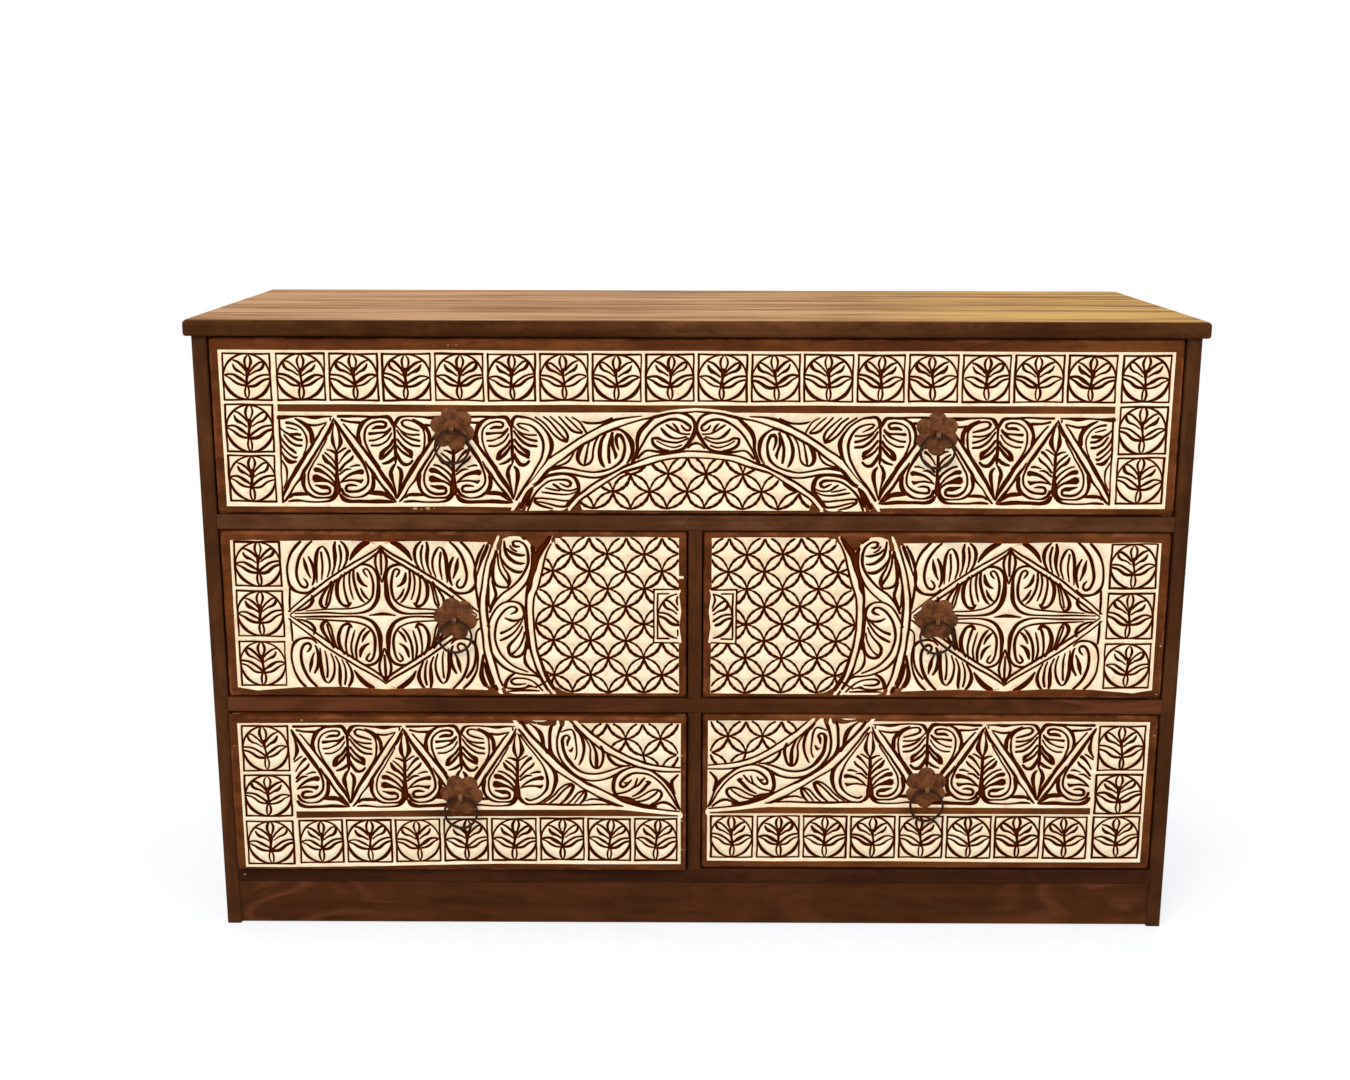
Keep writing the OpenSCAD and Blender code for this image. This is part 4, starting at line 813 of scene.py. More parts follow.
def tile_row(lines, left_gap, z0, z1, rng):
    """Squares in a row, between the lines where they meet."""
    out = []
    for a, b in zip(lines, lines[1:]):
        out += tile(a + left_gap, b - 3, z0, z1, rng)
    return out


def tile_column(x0, x1, rows, rng):
    """Squares above one another, each with the heights of its row."""
    out = []
    for z0, z1 in rows:
        out += tile(x0, x1, z0, z1, rng)
    return out


def palmette(x, foot, tip, left=HEART_WIDE, right=HEART_WIDE, cut=False):
    """A heart palmette between its foot and its tip. Its halves are stretched by the distance to its
    neighbours, and one with the distance 0 is left out. cut is for the one that the field's end cuts."""
    halves = [UP_LEFT, UP_RIGHT] if tip > foot else [DOWN_LEFT, DOWN_RIGHT]
    if cut:
        halves[1] = CUT_RIGHT if tip < foot else [s for s in UP_RIGHT if s[0][0] > 0]
    out = []
    for half, gap in zip(halves, (left, right)):
        if gap:
            out += put(half, x, foot, gap / HEART_WIDE, (tip - foot) / HEART_HIGH)
    return out


def palmette_row(start, foot, tip, start_right, second_left, ribs):
    """Palmettes upright and hanging in turn, the first from foot to tip. It is cut by the field's end at
    start, and of the last one only its left half and the ribs past it are there."""
    last = -222
    out = palmette(start, foot, tip, left=0, right=start_right, cut=True)
    out += palmette(-434.5, tip, foot, left=second_left)
    out += palmette(-363.5, foot, tip)
    out += palmette(-293, tip, foot)
    out += palmette(last, foot, tip, right=0)
    return out + put(ribs, last, foot, 1, 1 if tip > foot else -1)


def along(line, v, axis=0):
    """A line's other coordinate at v."""
    pts = sorted((p[axis], p[1 - axis]) for p in line)
    if v <= pts[0][0]:
        return pts[0][1]
    for (a, b), (c, d) in zip(pts, pts[1:]):
        if v <= c:
            return b + (d - b) * (v - a) / (c - a) if c > a else d
    return pts[-1][1]


def kept_runs(points, keep, fewest):
    """The stretches of a line whose points are kept, where they have at least the fewest points."""
    runs = [[]]
    for point, kept in zip(points, keep):
        if kept:
            runs[-1].append(point)
        else:
            runs.append([])
    return [run for run in runs if len(run) >= fewest]


def crossings(*rows):
    """Where the circles of a lattice cross. Each row is its height, then its places from side to side."""
    return [(x, z) for z, *places in rows for x in places]


def petal_side(a, b, side):
    """One arc of the petal between two crossings, widest in its middle and uneven as a hand cuts it."""
    dx, dz = b[0] - a[0], b[1] - a[1]
    d = math.hypot(dx, dz)
    out = []
    for k in range(PETAL_STEPS + 1):
        t = k / PETAL_STEPS
        h = PETAL_HALF * side * math.sin(math.pi * t) ** 0.85
        width = 0.6 + 0.55 * math.sin(math.pi * t) + (0.3 if dx * side < 0 else 0)
        width *= 1 + 0.2 * math.sin(7 * a[0] + 3 * b[1] + 2.1 * k)
        out.append((a[0] + dx * t - dz / d * h, a[1] + dz * t + dx / d * h, width))
    return out


def lattice(nodes, inside):
    """Four-petalled circles: two arcs between each pair of diagonal neighbours, cut where inside() ends."""
    out = []
    for i, a in enumerate(nodes):
        for b in nodes[i + 1:]:
            dx, dz = b[0] - a[0], b[1] - a[1]
            if PETAL_SHORT < math.hypot(dx, dz) < PETAL_LONG and abs(dz) >= PETAL_RISE:
                for side in (1, -1):
                    arc = petal_side(a, b, side)
                    out += kept_runs(arc, [inside(x, z) for x, z, w in arc], 3)
    return out


def top_carving(rng):
    """The top front's strokes: squares, palmettes, and the arch with its leaves, its vine and its lattice."""
    lines = [-505, -441.5, -378.2, -315.3, -251.9, -190, -126.7, -63.4, 0]
    rows = ((681, 736.7), (618.1, 675.2), (557, 613))
    tiles = tile_row(lines, 3.1, *rows[0], rng) + tile_column(*SIDE_TILES, rows, rng)
    tiles += mirror(tile_row(lines, 3.1, *rows[0], rng) + tile_column(*SIDE_TILES, rows, rng))
    half = strokes("""
        -501.9 662 .9, -501.8 640 1, -501.9 620 .9, -502 600 .7, -502.2 580 .6, -502 565 .9, -502 556 1.1
    """)
    half += palmette_row(-505.5, 661, 556, HEART_WIDE, 68.8, DOWN_RIGHT[4:])
    half += TOP_ARCH + TOP_LEAVES + TOP_VINE
    nodes = crossings((592, -78.5, -33, 12.3, 57.6), (570, -101, -55.8, -10.5, 34.8, 80, 125),
                      (549, -124, -79.5, -35, 10, 57, 100), (614, -10.5, -55.8, 34.8), (592, 102.8, -123.8),
                      (549, 145), (570, -146), (614, 79.8, -101), (636, -33, 12.3))

    def under_arch(x, z):
        return abs(x) < 150 and 547.5 < z < along(ARCH_EDGE, -abs(x)) - 0.4

    return tiles + half + mirror(half) + lattice(nodes, under_arch)


def diamond():
    """The middle drawer's diamond from its quarters, the inner ones a little flatter."""
    x, z, flatter = -385.5, 413.3, 0.965
    out = []
    for sx in (1, -1):
        for sz in (1, -1):
            out += put(QUARTER_IN + DIAMOND_SIDES, x, z, sx, sz * flatter)
            out += put(QUARTER_OUT, x, 412.5, sx, sz)
    for sz in (1, -1):
        out += put(DIAMOND_MID, x, z, 1, sz * flatter)
    out += put(strokes("-17 0 .5, 0 2 1.5, 15 .5 .5"), x, 413)
    return [[(x, z, 1.08 * w) for x, z, w in s] for s in out]


def middle_carving(rng):
    """The middle left front: squares, the diamond, the scrolls, and the lattice round a half square."""
    out = tile_column(-565.2, -509.3, ((450.3, 506), (386.2, 443.8), (322.2, 379)), rng)
    out += diamond()
    out += strokes("""
        -499.6 447 .9, -500.3 431 1.2, -500.4 418 .8
        -500.4 408 .8, -500.2 395 1.2, -499.4 380 .9
    """)
    out += MIDDLE_BANDS + MIDDLE_SCROLLS
    nodes = crossings(*[(z, -197, -152, -107.5, -63, -18) for z in (492, 448, 403, 359.5, 314.5)])
    nodes += crossings(*[(z, -175, -130, -85, -41) for z in (514, 470, 425.5, 381.5, 336.7)])

    def round_square(x, z):
        in_field = 313.5 < z < 512.5 and along(BAND_EDGE, z, 1) + 0.8 < x < INNER_END
        return in_field and not (x > -51 and 378.5 < z < 447.5)

    out += lattice(nodes, round_square)
    out += strokes("""
        -51 446 .8, -51 412 .8, -51 380 .8
        -51.5 447.3 .8, -36 447.3 .7, -20.5 447 .7
        -51.5 378.6 .8, -36 378.6 .7, -20.5 378.8 .7
    """)
    half_tile = [[p for p in s if p[0] < -20.8] for s in tile(-46.5, 8.5, 384, 442, rng)]
    return out + [s for s in half_tile if len(s) > 1]


def bottom_carving(rng, rows):
    """The bottom left front's strokes. rows: the heights of the squares at its left end."""
    lines = [-503, -442.5, -381, -319, -259, -197, -137, -77.5, -19]
    out = tile_row(lines, 3, 94, 149.8, rng) + tile_column(-566.2, -508.6, rows, rng)
    out += palmette_row(-503.5, 167.3, 273, 69, HEART_WIDE, UP_RIGHT[6:])
    out += BOTTOM_ARCH + BOTTOM_VINE
    nodes = crossings((257, -130, -86, -42, 2), (235, -108, -64.5, -20), (278.5, -152, -109.5, -65, -20),
                      (213, -42, 2))

    def above_arch(x, z):
        return x < INNER_END and along(LOW_EDGE, x) + 0.6 < z < 277

    return out + lattice(nodes, above_arch)


# The edge of each cream field, and the brown bands left flat inside it, in mm


def outline(text):
    """An outline or a line: points 'x z' with commas between."""
    return strokes(text)[0]


TOP_FIELD = outline("""
-570.5 550.6, -400 550.3, -300 551.2, -232 550.4, -224 550.2, -223.6 548.8, -225.8 544.6, -225 543.6,
-223.8 543.9, -221 547.2, -217.5 552, -214.2 557.5, -213.4 557, -214 551.5, -213 547.2, -211.8 546.8,
-210.6 549, -207.4 555.5, -205.8 556, -206.2 550, -207.8 545.2, -207 544.2, -199 545.4, -190 544.6,
-184 545, -176 547.5, -171 546.6, -166 546.3, -161 547, -156 550.2, -155 548.5, -155.8 544.6, -154.6 543.2,
-153 544, -150 547.8, -147.2 550.8, -141 556.5, -139.5 552, -138 547.3, -80 547, 0 547
""")
TOP_FIELD_UP = outline("""
0 741.2, -150 740.8, -300 741.5, -450 740.9, -571 741.2
""")
TOP_BAND = outline("""
-503 675.9, -400 676.2, -250 675.4, -150 676.2, -60 675.8, 0 676.1
""")
TOP_BAND_LOW = outline("""
0 672.6, -20 671.3, -35 669.3, -45 666.9, -60 667.1, -150 666.6, -260 667.2, -400 666.7, -503 667
""")
MIDDLE_FIELD = outline("""
-570.4 319.5, -558 317.5, -546 315.2, -534 316.4, -508 318.6, -495 319.8, -440 320.6, -386 317.4,
-330 319.4, -265 317.1, -258.4 316.8, -257.8 317.8, -261 321.5, -258 323.5, -254 320.4, -251.4 318.8,
-250.8 320, -253 324, -250.5 326, -248.8 321, -246.6 316, -243.5 312.2, -239.6 309, -238 309.4,
-239.6 313.5, -241.5 319, -238 321, -235.5 317, -234.5 315.2, -230 313, -222 311, -212 310.1, -190.5 310,
-188.6 312, -185.5 312.6, -182.3 310, -180.4 309.8, -181 312, -183.5 316.5, -181 318.5, -178 313.5,
-174.6 310, -172.8 310.1, -173.2 313, -176 318, -172 321, -166 317, -160 314.5, -150 313.3, -100 313,
-19.5 313.5, -20 372, -20 378, -16.5 380, -19.5 400, -17 420, -19.8 440, -17.5 446.5, -20.5 448, -20.2 461,
-10 461.2, -10.5 464, -20 464.6, -20.3 500, -20 512.5, -60 513.6, -162 513.4, -165 511.4, -170.5 512,
-171.6 510.5, -170.8 506, -172.3 504.2, -173.2 507.6, -174.2 507.2, -175.2 504.6, -176.6 509.5,
-174.3 514.6, -175.4 515.4, -178 514.2, -184 507, -188.5 500.5, -192 496.5, -196 497, -200.2 500.5,
-203.5 506.2, -209 511.2, -215 513.5, -222 514.2, -228 513.6, -235.5 510.6, -236.6 505, -238 497,
-243.6 496.5, -243.5 503, -240.3 510, -239.4 516, -240.4 516.8, -242.3 514, -246.3 505.2, -248.5 498.5,
-251.5 498.5, -251 503.2, -252 504, -254.6 501.5, -257 499.2, -258.6 500.2, -256 504, -254 506.4,
-262 506.5, -330 507.8, -386 506.6, -440 508.4, -505 507.2, -540 508.4, -569.5 507.8
""")
BOTTOM_FIELD = outline("""
-570.5 88.6, -400 88.2, -250 89.2, -100 88.4, -16.8 89, -17 150, -13.5 155.2, -16.8 160, -17.2 240,
-17 277.6, -80 277.9, -140 277.4, -142.5 276, -147 280.2, -151.2 283, -152.3 282.2, -150 277.5,
-148.5 274.5, -152.5 275.5, -157 280, -160.2 283.4, -161.6 282.6, -161.8 277.5, -163.5 272.5, -167.5 272.5,
-168.6 277, -169.4 281.4, -170.8 282, -171.8 280, -172.4 275.5, -175.5 272.8, -178 276.4, -181.5 274.2,
-184 273.6, -190 274, -197 275.8, -197 279.4, -190 279.3, -185 280.4, -183 282, -184 282.5, -190 281.4,
-198 281.4, -204 282.7, -205 282, -202 280.2, -197.2 279.5, -197.2 275.9, -206.5 277.6, -208 275.6,
-211.5 275.6, -214.8 278.8, -216.2 278.6, -215.8 275.4, -218.2 275.5, -221.5 279.6, -225.2 283.8,
-227.2 283.4, -226.2 279.5, -224.6 277, -231 277.2, -300 276.9, -420 277.8, -571 277.4
""")
BOTTOM_BAND = outline("""
-503 153.6, -400 153.9, -250 153.5, -100 153.8, -40 153.4, -20 153.2, -20 155.4, -40 156.7, -60 158.8,
-80 161.2, -95 162.5, -200 162, -300 162.6, -420 162, -503 162.4
""")

# The drawer fronts

BORE_R = 2.38  # a staple's bore, in mm
BORE_RIM = 4  # a bore's rim is nearer to its middle than this, in mm
BORE_CLEAR = 6  # no groove comes nearer to a bore's middle, in mm
WIDER, WIDTH_ADDED = 1.17, 0.26  # the strokes were read to the middle of their soft edges
GROOVE_STEP = 2.7  # about the distance between a groove's points, in mm
SHOULDER, LIP = 0.25, 0.3  # a ridge's rounding beside a groove, and how far it drops, in mm
WALL, DEEPEST = 1.15, 2.9  # how steep a groove's walls are, and its greatest depth in mm
EDGE_IN, EDGE_DEEP = 4.6, 6.4  # a front's rounding in mm, across the face and into the gap
CORNER = 5.0  # and the radius of its corners
CAD_EASE = 0.0024  # in m; the CAD node's own rounding is a little deeper
EDGE_STEP, EDGE_WANDER = 14, 0.28  # the steps along the face's worn edge, and how far it strays, in mm
SAME = 2e-6  # two places this near to each other, in m, are the same
JOINED = 0.012  # and two points of a plan this near, in mm, are joined
STAINED, PAINTED, GROOVED, BARE = range(4)  # the material slots of a front


def hand(x, z):
    """The slight wander of a knife, the same for everything near a place so that joints stay joined."""
    dx = 0.32 * math.sin(x / 19.0 + z / 43.0) + 0.22 * math.sin(z / 9.0 + 1.7)
    dz = 0.30 * math.sin(x / 23.0 + 2.1) + 0.22 * math.sin(x / 10.0 - z / 15.0)
    return dx + 0.12 * math.sin(x / 5.1 + z / 3.7), dz + 0.12 * math.sin(z / 4.3 - x / 6.1)


def level(x, z):
    """The lean of a carving that runs straight."""
    return 0


def downhill(x, z):
    """The bottom left drawer's carving runs a little downhill to the left."""
    k = min(1.0, max(0.0, (-220 - x) / 350))
    return -5.0 * k * min(1.0, max(0.0, (278 - z) / 190)) - 1.5 * k


def spline(stroke):
    """A smooth curve through a stroke's points."""
    p = np.array(stroke, float)
    out = []
    for i in range(len(p) - 1):
        p1, p2 = p[i], p[i + 1]
        p0 = p[i - 1] if i else 2 * p1 - p2
        p3 = p[i + 2] if i + 2 < len(p) else 2 * p2 - p1
        n = max(1, round(math.hypot(*(p2 - p1)[:2]) / GROOVE_STEP))
        for k in range(n):
            t = k / n
            bend = (2 * p0 - 5 * p1 + 4 * p2 - p3) * t * t
            out.append(0.5 * (2 * p1 + (p2 - p0) * t + bend + (3 * p1 - p0 - 3 * p2 + p3) * t ** 3))
    out.append(p[-1])
    return np.array(out)


def contains(poly, pts):
    """Which of the points lie inside a polygon."""
    x, z = pts[:, 0], pts[:, 1]
    inside = np.zeros(len(pts), bool)
    for (ax, az), (bx, bz) in zip(poly, poly[1:] + poly[:1]):
        if az != bz:
            inside ^= ((az > z) != (bz > z)) & (x < (bx - ax) * (z - az) / (bz - az) + ax)
    return inside


def clear_of(bores, pts, distance):
    """Which of the points are further than a distance from the middle of every bore."""
    clear = np.ones(len(pts), bool)
    for bx, bz in bores:
        clear &= np.hypot(pts[:, 0] - bx, pts[:, 1] - bz) > distance
    return clear


def cut_lines(carving, field, bores, rng, lean):
    """The strokes as smooth lines of x, z and half width, with the hand's wander, kept inside the field and
    clear of the bores. lean(x, z) is how much higher the carving stands there."""
    out = []
    for stroke in carving:
        k = rng.uniform(0.9, 1.12)
        line = []
        for x, z, w in spline(stroke):
            dx, dz = hand(x, z)
            x, z = x + dx, z + dz
            line.append((x, z + lean(x, z), max(0.35, (w * WIDER + WIDTH_ADDED) * k)))
        line = np.array(line)
        keep = contains(field, line[:, :2]) & clear_of(bores, line, BORE_CLEAR)
        out += [np.array(run) for run in kept_runs(line, keep, 2)]
    return out


def inside_by(pts, grooves):
    """How far inside a groove each point is: its half width less the distance from its middle line, in mm."""
    best = np.full(len(pts), -9.0)
    order = np.argsort(pts[:, 0])
    xs = pts[order, 0]
    for g in grooves:
        reach = g[:, 2].max() + SHOULDER
        lo, hi = np.searchsorted(xs, (g[:, 0].min() - reach, g[:, 0].max() + reach))
        near = order[lo:hi]
        near = near[(pts[near, 1] > g[:, 1].min() - reach) & (pts[near, 1] < g[:, 1].max() + reach)]
        p = pts[near]
        found = best[near]
        for a, b in zip(g, g[1:]):
            ab = (b - a)[:2]
            t = np.clip(((p - a[:2]) @ ab) / max(ab @ ab, 1e-9), 0, 1)
            d = np.hypot(p[:, 0] - a[0] - ab[0] * t, p[:, 1] - a[1] - ab[1] * t)
            found = np.maximum(found, a[2] + (b[2] - a[2]) * t - d)
        best[near] = found
    return best


def depth_of(inside):
    """A groove's depth where a point is so far inside it, with a rounded shoulder just outside."""
    shoulder = LIP * np.clip(inside / SHOULDER + 1, 0, 1) ** 2
    return np.where(inside > 0, np.minimum(LIP + WALL * inside, DEEPEST), shoulder)


def rounded_outline(ends, inset, radius, wander, counts):
    """A rounded rectangle, anticlockwise as seen from the front, its straight sides a little uneven.
    ends: its left and right, its bottom and top. counts: the steps of a level side and an upright one."""
    (x0, x1), (z0, z1) = ((lo + inset, hi - inset) for lo, hi in ends)
    left, right, low, high = x0 + radius, x1 - radius, z0 + radius, z1 - radius
    arcs = ((right, low, -90, x1, high), (right, high, 0, left, z1), (left, high, 90, x0, low),
            (left, low, 180, right, z0))
    out = []
    for cx, cz, start, bx, bz in arcs:
        for a in range(start, start + 91, 15):
            out.append((cx + radius * math.cos(math.radians(a)), cz + radius * math.sin(math.radians(a))))
        ax, az = out[-1]
        is_level = start in (0, 180)
        n = counts[0 if is_level else 1]
        for i in range(1, n):
            x, z = ax + (bx - ax) * i / n, az + (bz - az) * i / n
            d = wander * (math.sin(x / 31 + z / 17) + 0.7 * math.sin(x / 11.3 - z / 13.1 + 1.0))
            d *= math.sin(math.pi * i / n) ** 0.5
            out.append((x, z + d) if is_level else (x + d, z))
    return out


def worn_rounding(ends):
    """The rings round a face, from the gap to the face: each its outline, its depth in mm and its wear."""
    counts = [round((hi - lo) / EDGE_STEP) for lo, hi in ends]
    out = [(rounded_outline(ends, 0, 0.3, 0.0, counts), EDGE_DEEP, 0.0)]
    for k in range(6):
        a = k / 5 * math.pi / 2
        inset = EDGE_IN * (1 - math.cos(a))
        radius = CORNER + 0.5 * EDGE_IN * (1 - math.cos(a))
        ring = rounded_outline(ends, inset, radius, EDGE_WANDER * math.sin(a), counts)
        out.append((ring, EDGE_DEEP * (1 - math.sin(a)), math.sin(2 * a) * 0.75 + 0.25 * math.sin(a)))
    return out


class Plan:
    """Points and edges on a face that its triangles have to follow, in mm."""

    def __init__(self):
        self.points, self.edges = [], []

    def line(self, pts, closed=True):
        """A line through some points, as a rule back to its start."""
        first, n = len(self.points), len(pts)
        self.points += [(float(x), float(z)) for x, z in pts]
        self.edges += [(first + i, first + (i + 1) % n) for i in range(n if closed else n - 1)]

    def rim(self, edges, corners):
        """Edges that a mesh has already, by the numbers of their corners."""
        index = {}
        for edge in edges:
            for i in edge:
                if i not in index:
                    index[i] = len(self.points)
                    self.points.append((corners[i].co.x / MM, corners[i].co.z / MM))
            self.edges.append(tuple(index[i] for i in edge))

    def groove(self, g):
        """A groove's middle line, its two edges and its shoulder, with round ends."""
        t = np.gradient(g[:, :2], axis=0)
        t /= np.linalg.norm(t, axis=1)[:, None] + 1e-9
        side = np.stack([-t[:, 1], t[:, 0]], 1)
        for wider, angles in ((0.0, (-60, -30, 0, 30, 60)), (SHOULDER, (-50, 0, 50))):
            w = g[:, 2:3] + wider
            turns = [(math.cos(math.radians(a)), math.sin(math.radians(a))) for a in angles]
            last = [g[-1, :2] + w[-1] * (t[-1] * c - side[-1] * s) for c, s in turns]
            first = [g[0, :2] - w[0] * (t[0] * c - side[0] * s) for c, s in turns]
            self.line([*(g[:, :2] + side * w), *last, *(g[:, :2] - side * w)[::-1], *first])
        self.line(g[:, :2], closed=False)

    def triangles(self, outline, bores):
        """The points, the triangles inside the outline and outside the bores, and their middles."""
        got = delaunay_2d_cdt([Vector(p) for p in self.points], self.edges, [], 0, JOINED, False)
        xz = np.array([tuple(v) for v in got[0]])
        tris = np.array([f for f in got[2] if len(f) == 3])
        middles = xz[tris].mean(1)
        solid = contains(outline, middles) & clear_of(bores, middles, BORE_R)
        return xz, tris[solid], middles[solid]


def bore_rims(source, face_y, gone, bores):
    """The edges of the CAD face round its bores: those that only one polygon of the face has."""
    corners = source.vertices
    count = {}
    for p in gone:
        if all(corners[i].co.y < face_y + SAME for i in p.vertices):
            for edge in p.edge_keys:
                count[edge] = count.get(edge, 0) + 1

    def by_bore(i):
        x, z = corners[i].co.x / MM, corners[i].co.z / MM
        return any(math.hypot(x - bx, z - bz) < BORE_RIM for bx, bz in bores)

    return [edge for edge, n in count.items() if n == 1 and by_bore(edge[0]) and by_bore(edge[1])]


def skin(bm, near, far):
    """Smooth quads between two closed rows of vertices."""
    for k in range(len(near)):
        j = (k + 1) % len(near)
        bm.faces.new((near[k], near[j], far[j], far[k])).smooth = True


def new_object(name, bm, materials):
    mesh = bpy.data.meshes.new(name)
    bm.normal_update()
    bm.to_mesh(mesh)
    bm.free()
    for material in materials:
        mesh.materials.append(material)
    obj = bpy.data.objects.new(name, mesh)
    bpy.context.scene.collection.objects.link(obj)
    return obj


def new_piece(name, bm, materials, body, replaced=None, sharp=None):
    """A piece on a body, with its materials. It may take a CAD node's place, and its edges sharper than a
    number of degrees stay hard."""
    piece = new_object(name, bm, materials)
    if sharp:
        piece.data.set_sharp_from_angle(angle=math.radians(sharp))
    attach(piece, body)
    if replaced:
        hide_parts(replaced)


def spans(corners):
    """The least and the greatest x, y and z of some vertices."""
    return [(min(v.co[i] for v in corners), max(v.co[i] for v in corners)) for i in range(3)]


def sides_and_back(source, face_y, eased_y, gone):
    """The CAD node without its face and its rounding. Its sides end where the new rounding starts."""
    bm = bmesh.new()
    bm.from_mesh(source)
    bm.faces.ensure_lookup_table()
    bmesh.ops.delete(bm, geom=[bm.faces[p.index] for p in gone], context="FACES_ONLY")
    for v in bm.verts:
        if abs(v.co.y - eased_y) < SAME and v.link_faces:
            v.co.y = face_y + EDGE_DEEP * MM
    for f in bm.faces:
        f.material_index = BARE if f.normal.y > 0.7 else STAINED
    return bm


def add_rounding(bm, face_y, rings):
    """The worn rounding, ring by ring. The vertex attribute worn tells where hands have rubbed it."""
    worn = bm.verts.layers.float["worn"]
    loft = []
    for ring, deep, wear in rings:
        loft.append([bm.verts.new((x * MM, face_y + deep * MM, z * MM)) for x, z in ring])
        for v in loft[-1]:
            v[worn] = wear
    for near, far in zip(loft, loft[1:]):
        skin(bm, near, far)


def add_face(bm, face_y, plan, grooves, outline, field, bands, bores):
    """The carved face: cream inside the field but not on its bands, and dark in the grooves."""
    xz, tris, middles = plan.triangles(outline, bores)
    cut = bm.verts.layers.float["cut"]
    made = []
    for (x, z), deep in zip(xz, depth_of(inside_by(xz, grooves))):
        made.append(bm.verts.new((x * MM, face_y + deep * MM, z * MM)))
        made[-1][cut] = deep
    in_groove = inside_by(middles, grooves) > 0
    in_cream = contains(field, middles)
    for band in bands:
        in_cream &= ~contains(band, middles)
    slots = np.where(in_groove, GROOVED, np.where(in_cream, PAINTED, STAINED))
    for tri, slot in zip(tris, slots):
        try:
            f = bm.faces.new([made[i] for i in tri])
        except ValueError:  # the same triangle twice
            continue
        f.material_index = int(slot)
        f.smooth = True


def unwrap(bm):
    """A flat layout for baking: the face and the back above each other, then the other sides in strips."""
    uv = bm.loops.layers.uv.new("OFBake")
    box = spans(bm.verts)
    wide, deep, high = (hi - lo for lo, hi in box)
    gap, margin = 0.008, 0.002
    size = max(wide, 2 * high + 4 * deep + 6 * gap) + 2 * margin
    for f in bm.faces:
        n = f.normal
        way = max(range(3), key=lambda i: abs(n[i]))
        for loop in f.loops:
            x, y, z = (loop.vert.co[i] - box[i][0] for i in range(3))
            if way == 1 or f.material_index in (PAINTED, GROOVED):
                u, v = x, z + (high + gap if n.y > 0 and f.material_index == BARE else 0)
            elif way == 2:
                u, v = x, 2 * (high + gap) + y + (deep + gap if n.z > 0 else 0)
            else:
                u, v = z, 2 * (high + gap) + 2 * (deep + gap) + y + (deep + gap if n.x > 0 else 0)
            loop[uv].uv = ((u + margin) / size, (v + margin) / size)


def carved_front(part, carving, field, bands, rng, lean=level):
    """A drawer's front: the CAD node's own sides, back and bores, a worn rounding round its face, and the
    face cut as the carving says. The field is cream except on its bands."""
    node, body = part + "_front", "drawer_" + part
    bores = [(x, z) for x, z, turn in PULLS[part]]
    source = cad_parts[node].data
    corners = source.vertices
    face_y = min(v.co.y for v in corners)
    eased_y = min(v.co.y for v in corners if v.co.y > face_y + CAD_EASE)
    gone = [p for p in source.polygons if all(corners[i].co.y < eased_y + SAME for i in p.vertices)]
    across, _, upright = spans(corners)
    rings = worn_rounding([(lo / MM, hi / MM) for lo, hi in (across, upright)])
    face_outline = rings[-1][0]
    grooves = cut_lines(carving, field, bores, rng, lean)

    plan = Plan()
    plan.rim(bore_rims(source, face_y, gone, bores), corners)
    for closed_line in (face_outline, field, *bands):
        plan.line(closed_line)
    for groove in grooves:
        plan.groove(groove)

    bm = sides_and_back(source, face_y, eased_y, gone)
    for name in ("cut", "worn"):
        bm.verts.layers.float.new(name)
    add_rounding(bm, face_y, rings)
    add_face(bm, face_y, plan, grooves, face_outline, field, bands, bores)
    bmesh.ops.remove_doubles(bm, verts=bm.verts, dist=2 * SAME)
    bmesh.ops.delete(bm, geom=[v for v in bm.verts if not v.link_faces], context="VERTS")
    bm.normal_update()
    unwrap(bm)
    new_piece(node + "_carved", bm, (FRONT_WOOD, CREAM, GROOVE, PLAIN_WOOD), body, node, 28)


# The pulls

LOBE_R, LOBE_OUT = 10.9, 16.6  # a plate's six lobes: their radius, and how far out their middles are, in mm
DOME, DOME_R = 4.5, 116.2  # the plate's height at its middle, and the radius it is beaten to, in mm
PLATE_EDGE = 0.3  # how high its edge stands at least, in mm
CREASE_DEEP, RIM_DROP = 1.5, 0.75  # the depth of the creases, and how far the edge is turned down, in mm
RIM_FROM = 0.91  # where the turned edge starts, as a fraction of the way out
PLATE_RINGS = (0.085, 0.12, 0.18, 0.26, 0.35, 0.44, 0.53, 0.62, 0.7, 0.78, 0.85, 0.91, 0.955, 0.985, 1.0)
PLATE_STEPS = 108  # the vertices round a plate
RING_STEPS, WIRE_STEPS = 96, 14  # the vertices along a ring, and round its wire


def petal_reach(lobes, angle):
    """How far out a plate's edge is at an angle, and how far that is to its petal's side: 1 in a crease."""
    edge, crease = 0.0, 1.0
    for at, r, out in lobes:
        d = math.radians((angle - at + 180) % 360 - 180)
        if abs(out * math.sin(d)) < r and math.cos(d) > 0:
            reach = out * math.cos(d) + math.sqrt(r * r - (out * math.sin(d)) ** 2)
            if reach > edge:
                edge, crease = reach, abs(math.degrees(d)) / 30
    return edge, crease


def plate_height(x, z, f, crease, dents):
    """A plate's height over its back, a fraction f of the way to its edge: dome, creases, dents, rim."""
    dome = DOME - (x * x + z * z) / (2 * DOME_R)
    h = dome - CREASE_DEEP * min(1.0, crease) ** 5 * min(1.0, max(0.0, (f - 0.3) / 0.5))
    for dx, dz, wide, deep in dents:
        h += deep * math.exp(-((x - dx) ** 2 + (z - dz) ** 2) / (wide * wide)) * min(1.0, (1 - f) * 5)
    h -= RIM_DROP * max(0.0, (f - RIM_FROM) / 0.09) ** 2
    return max(min(h, dome), PLATE_EDGE)


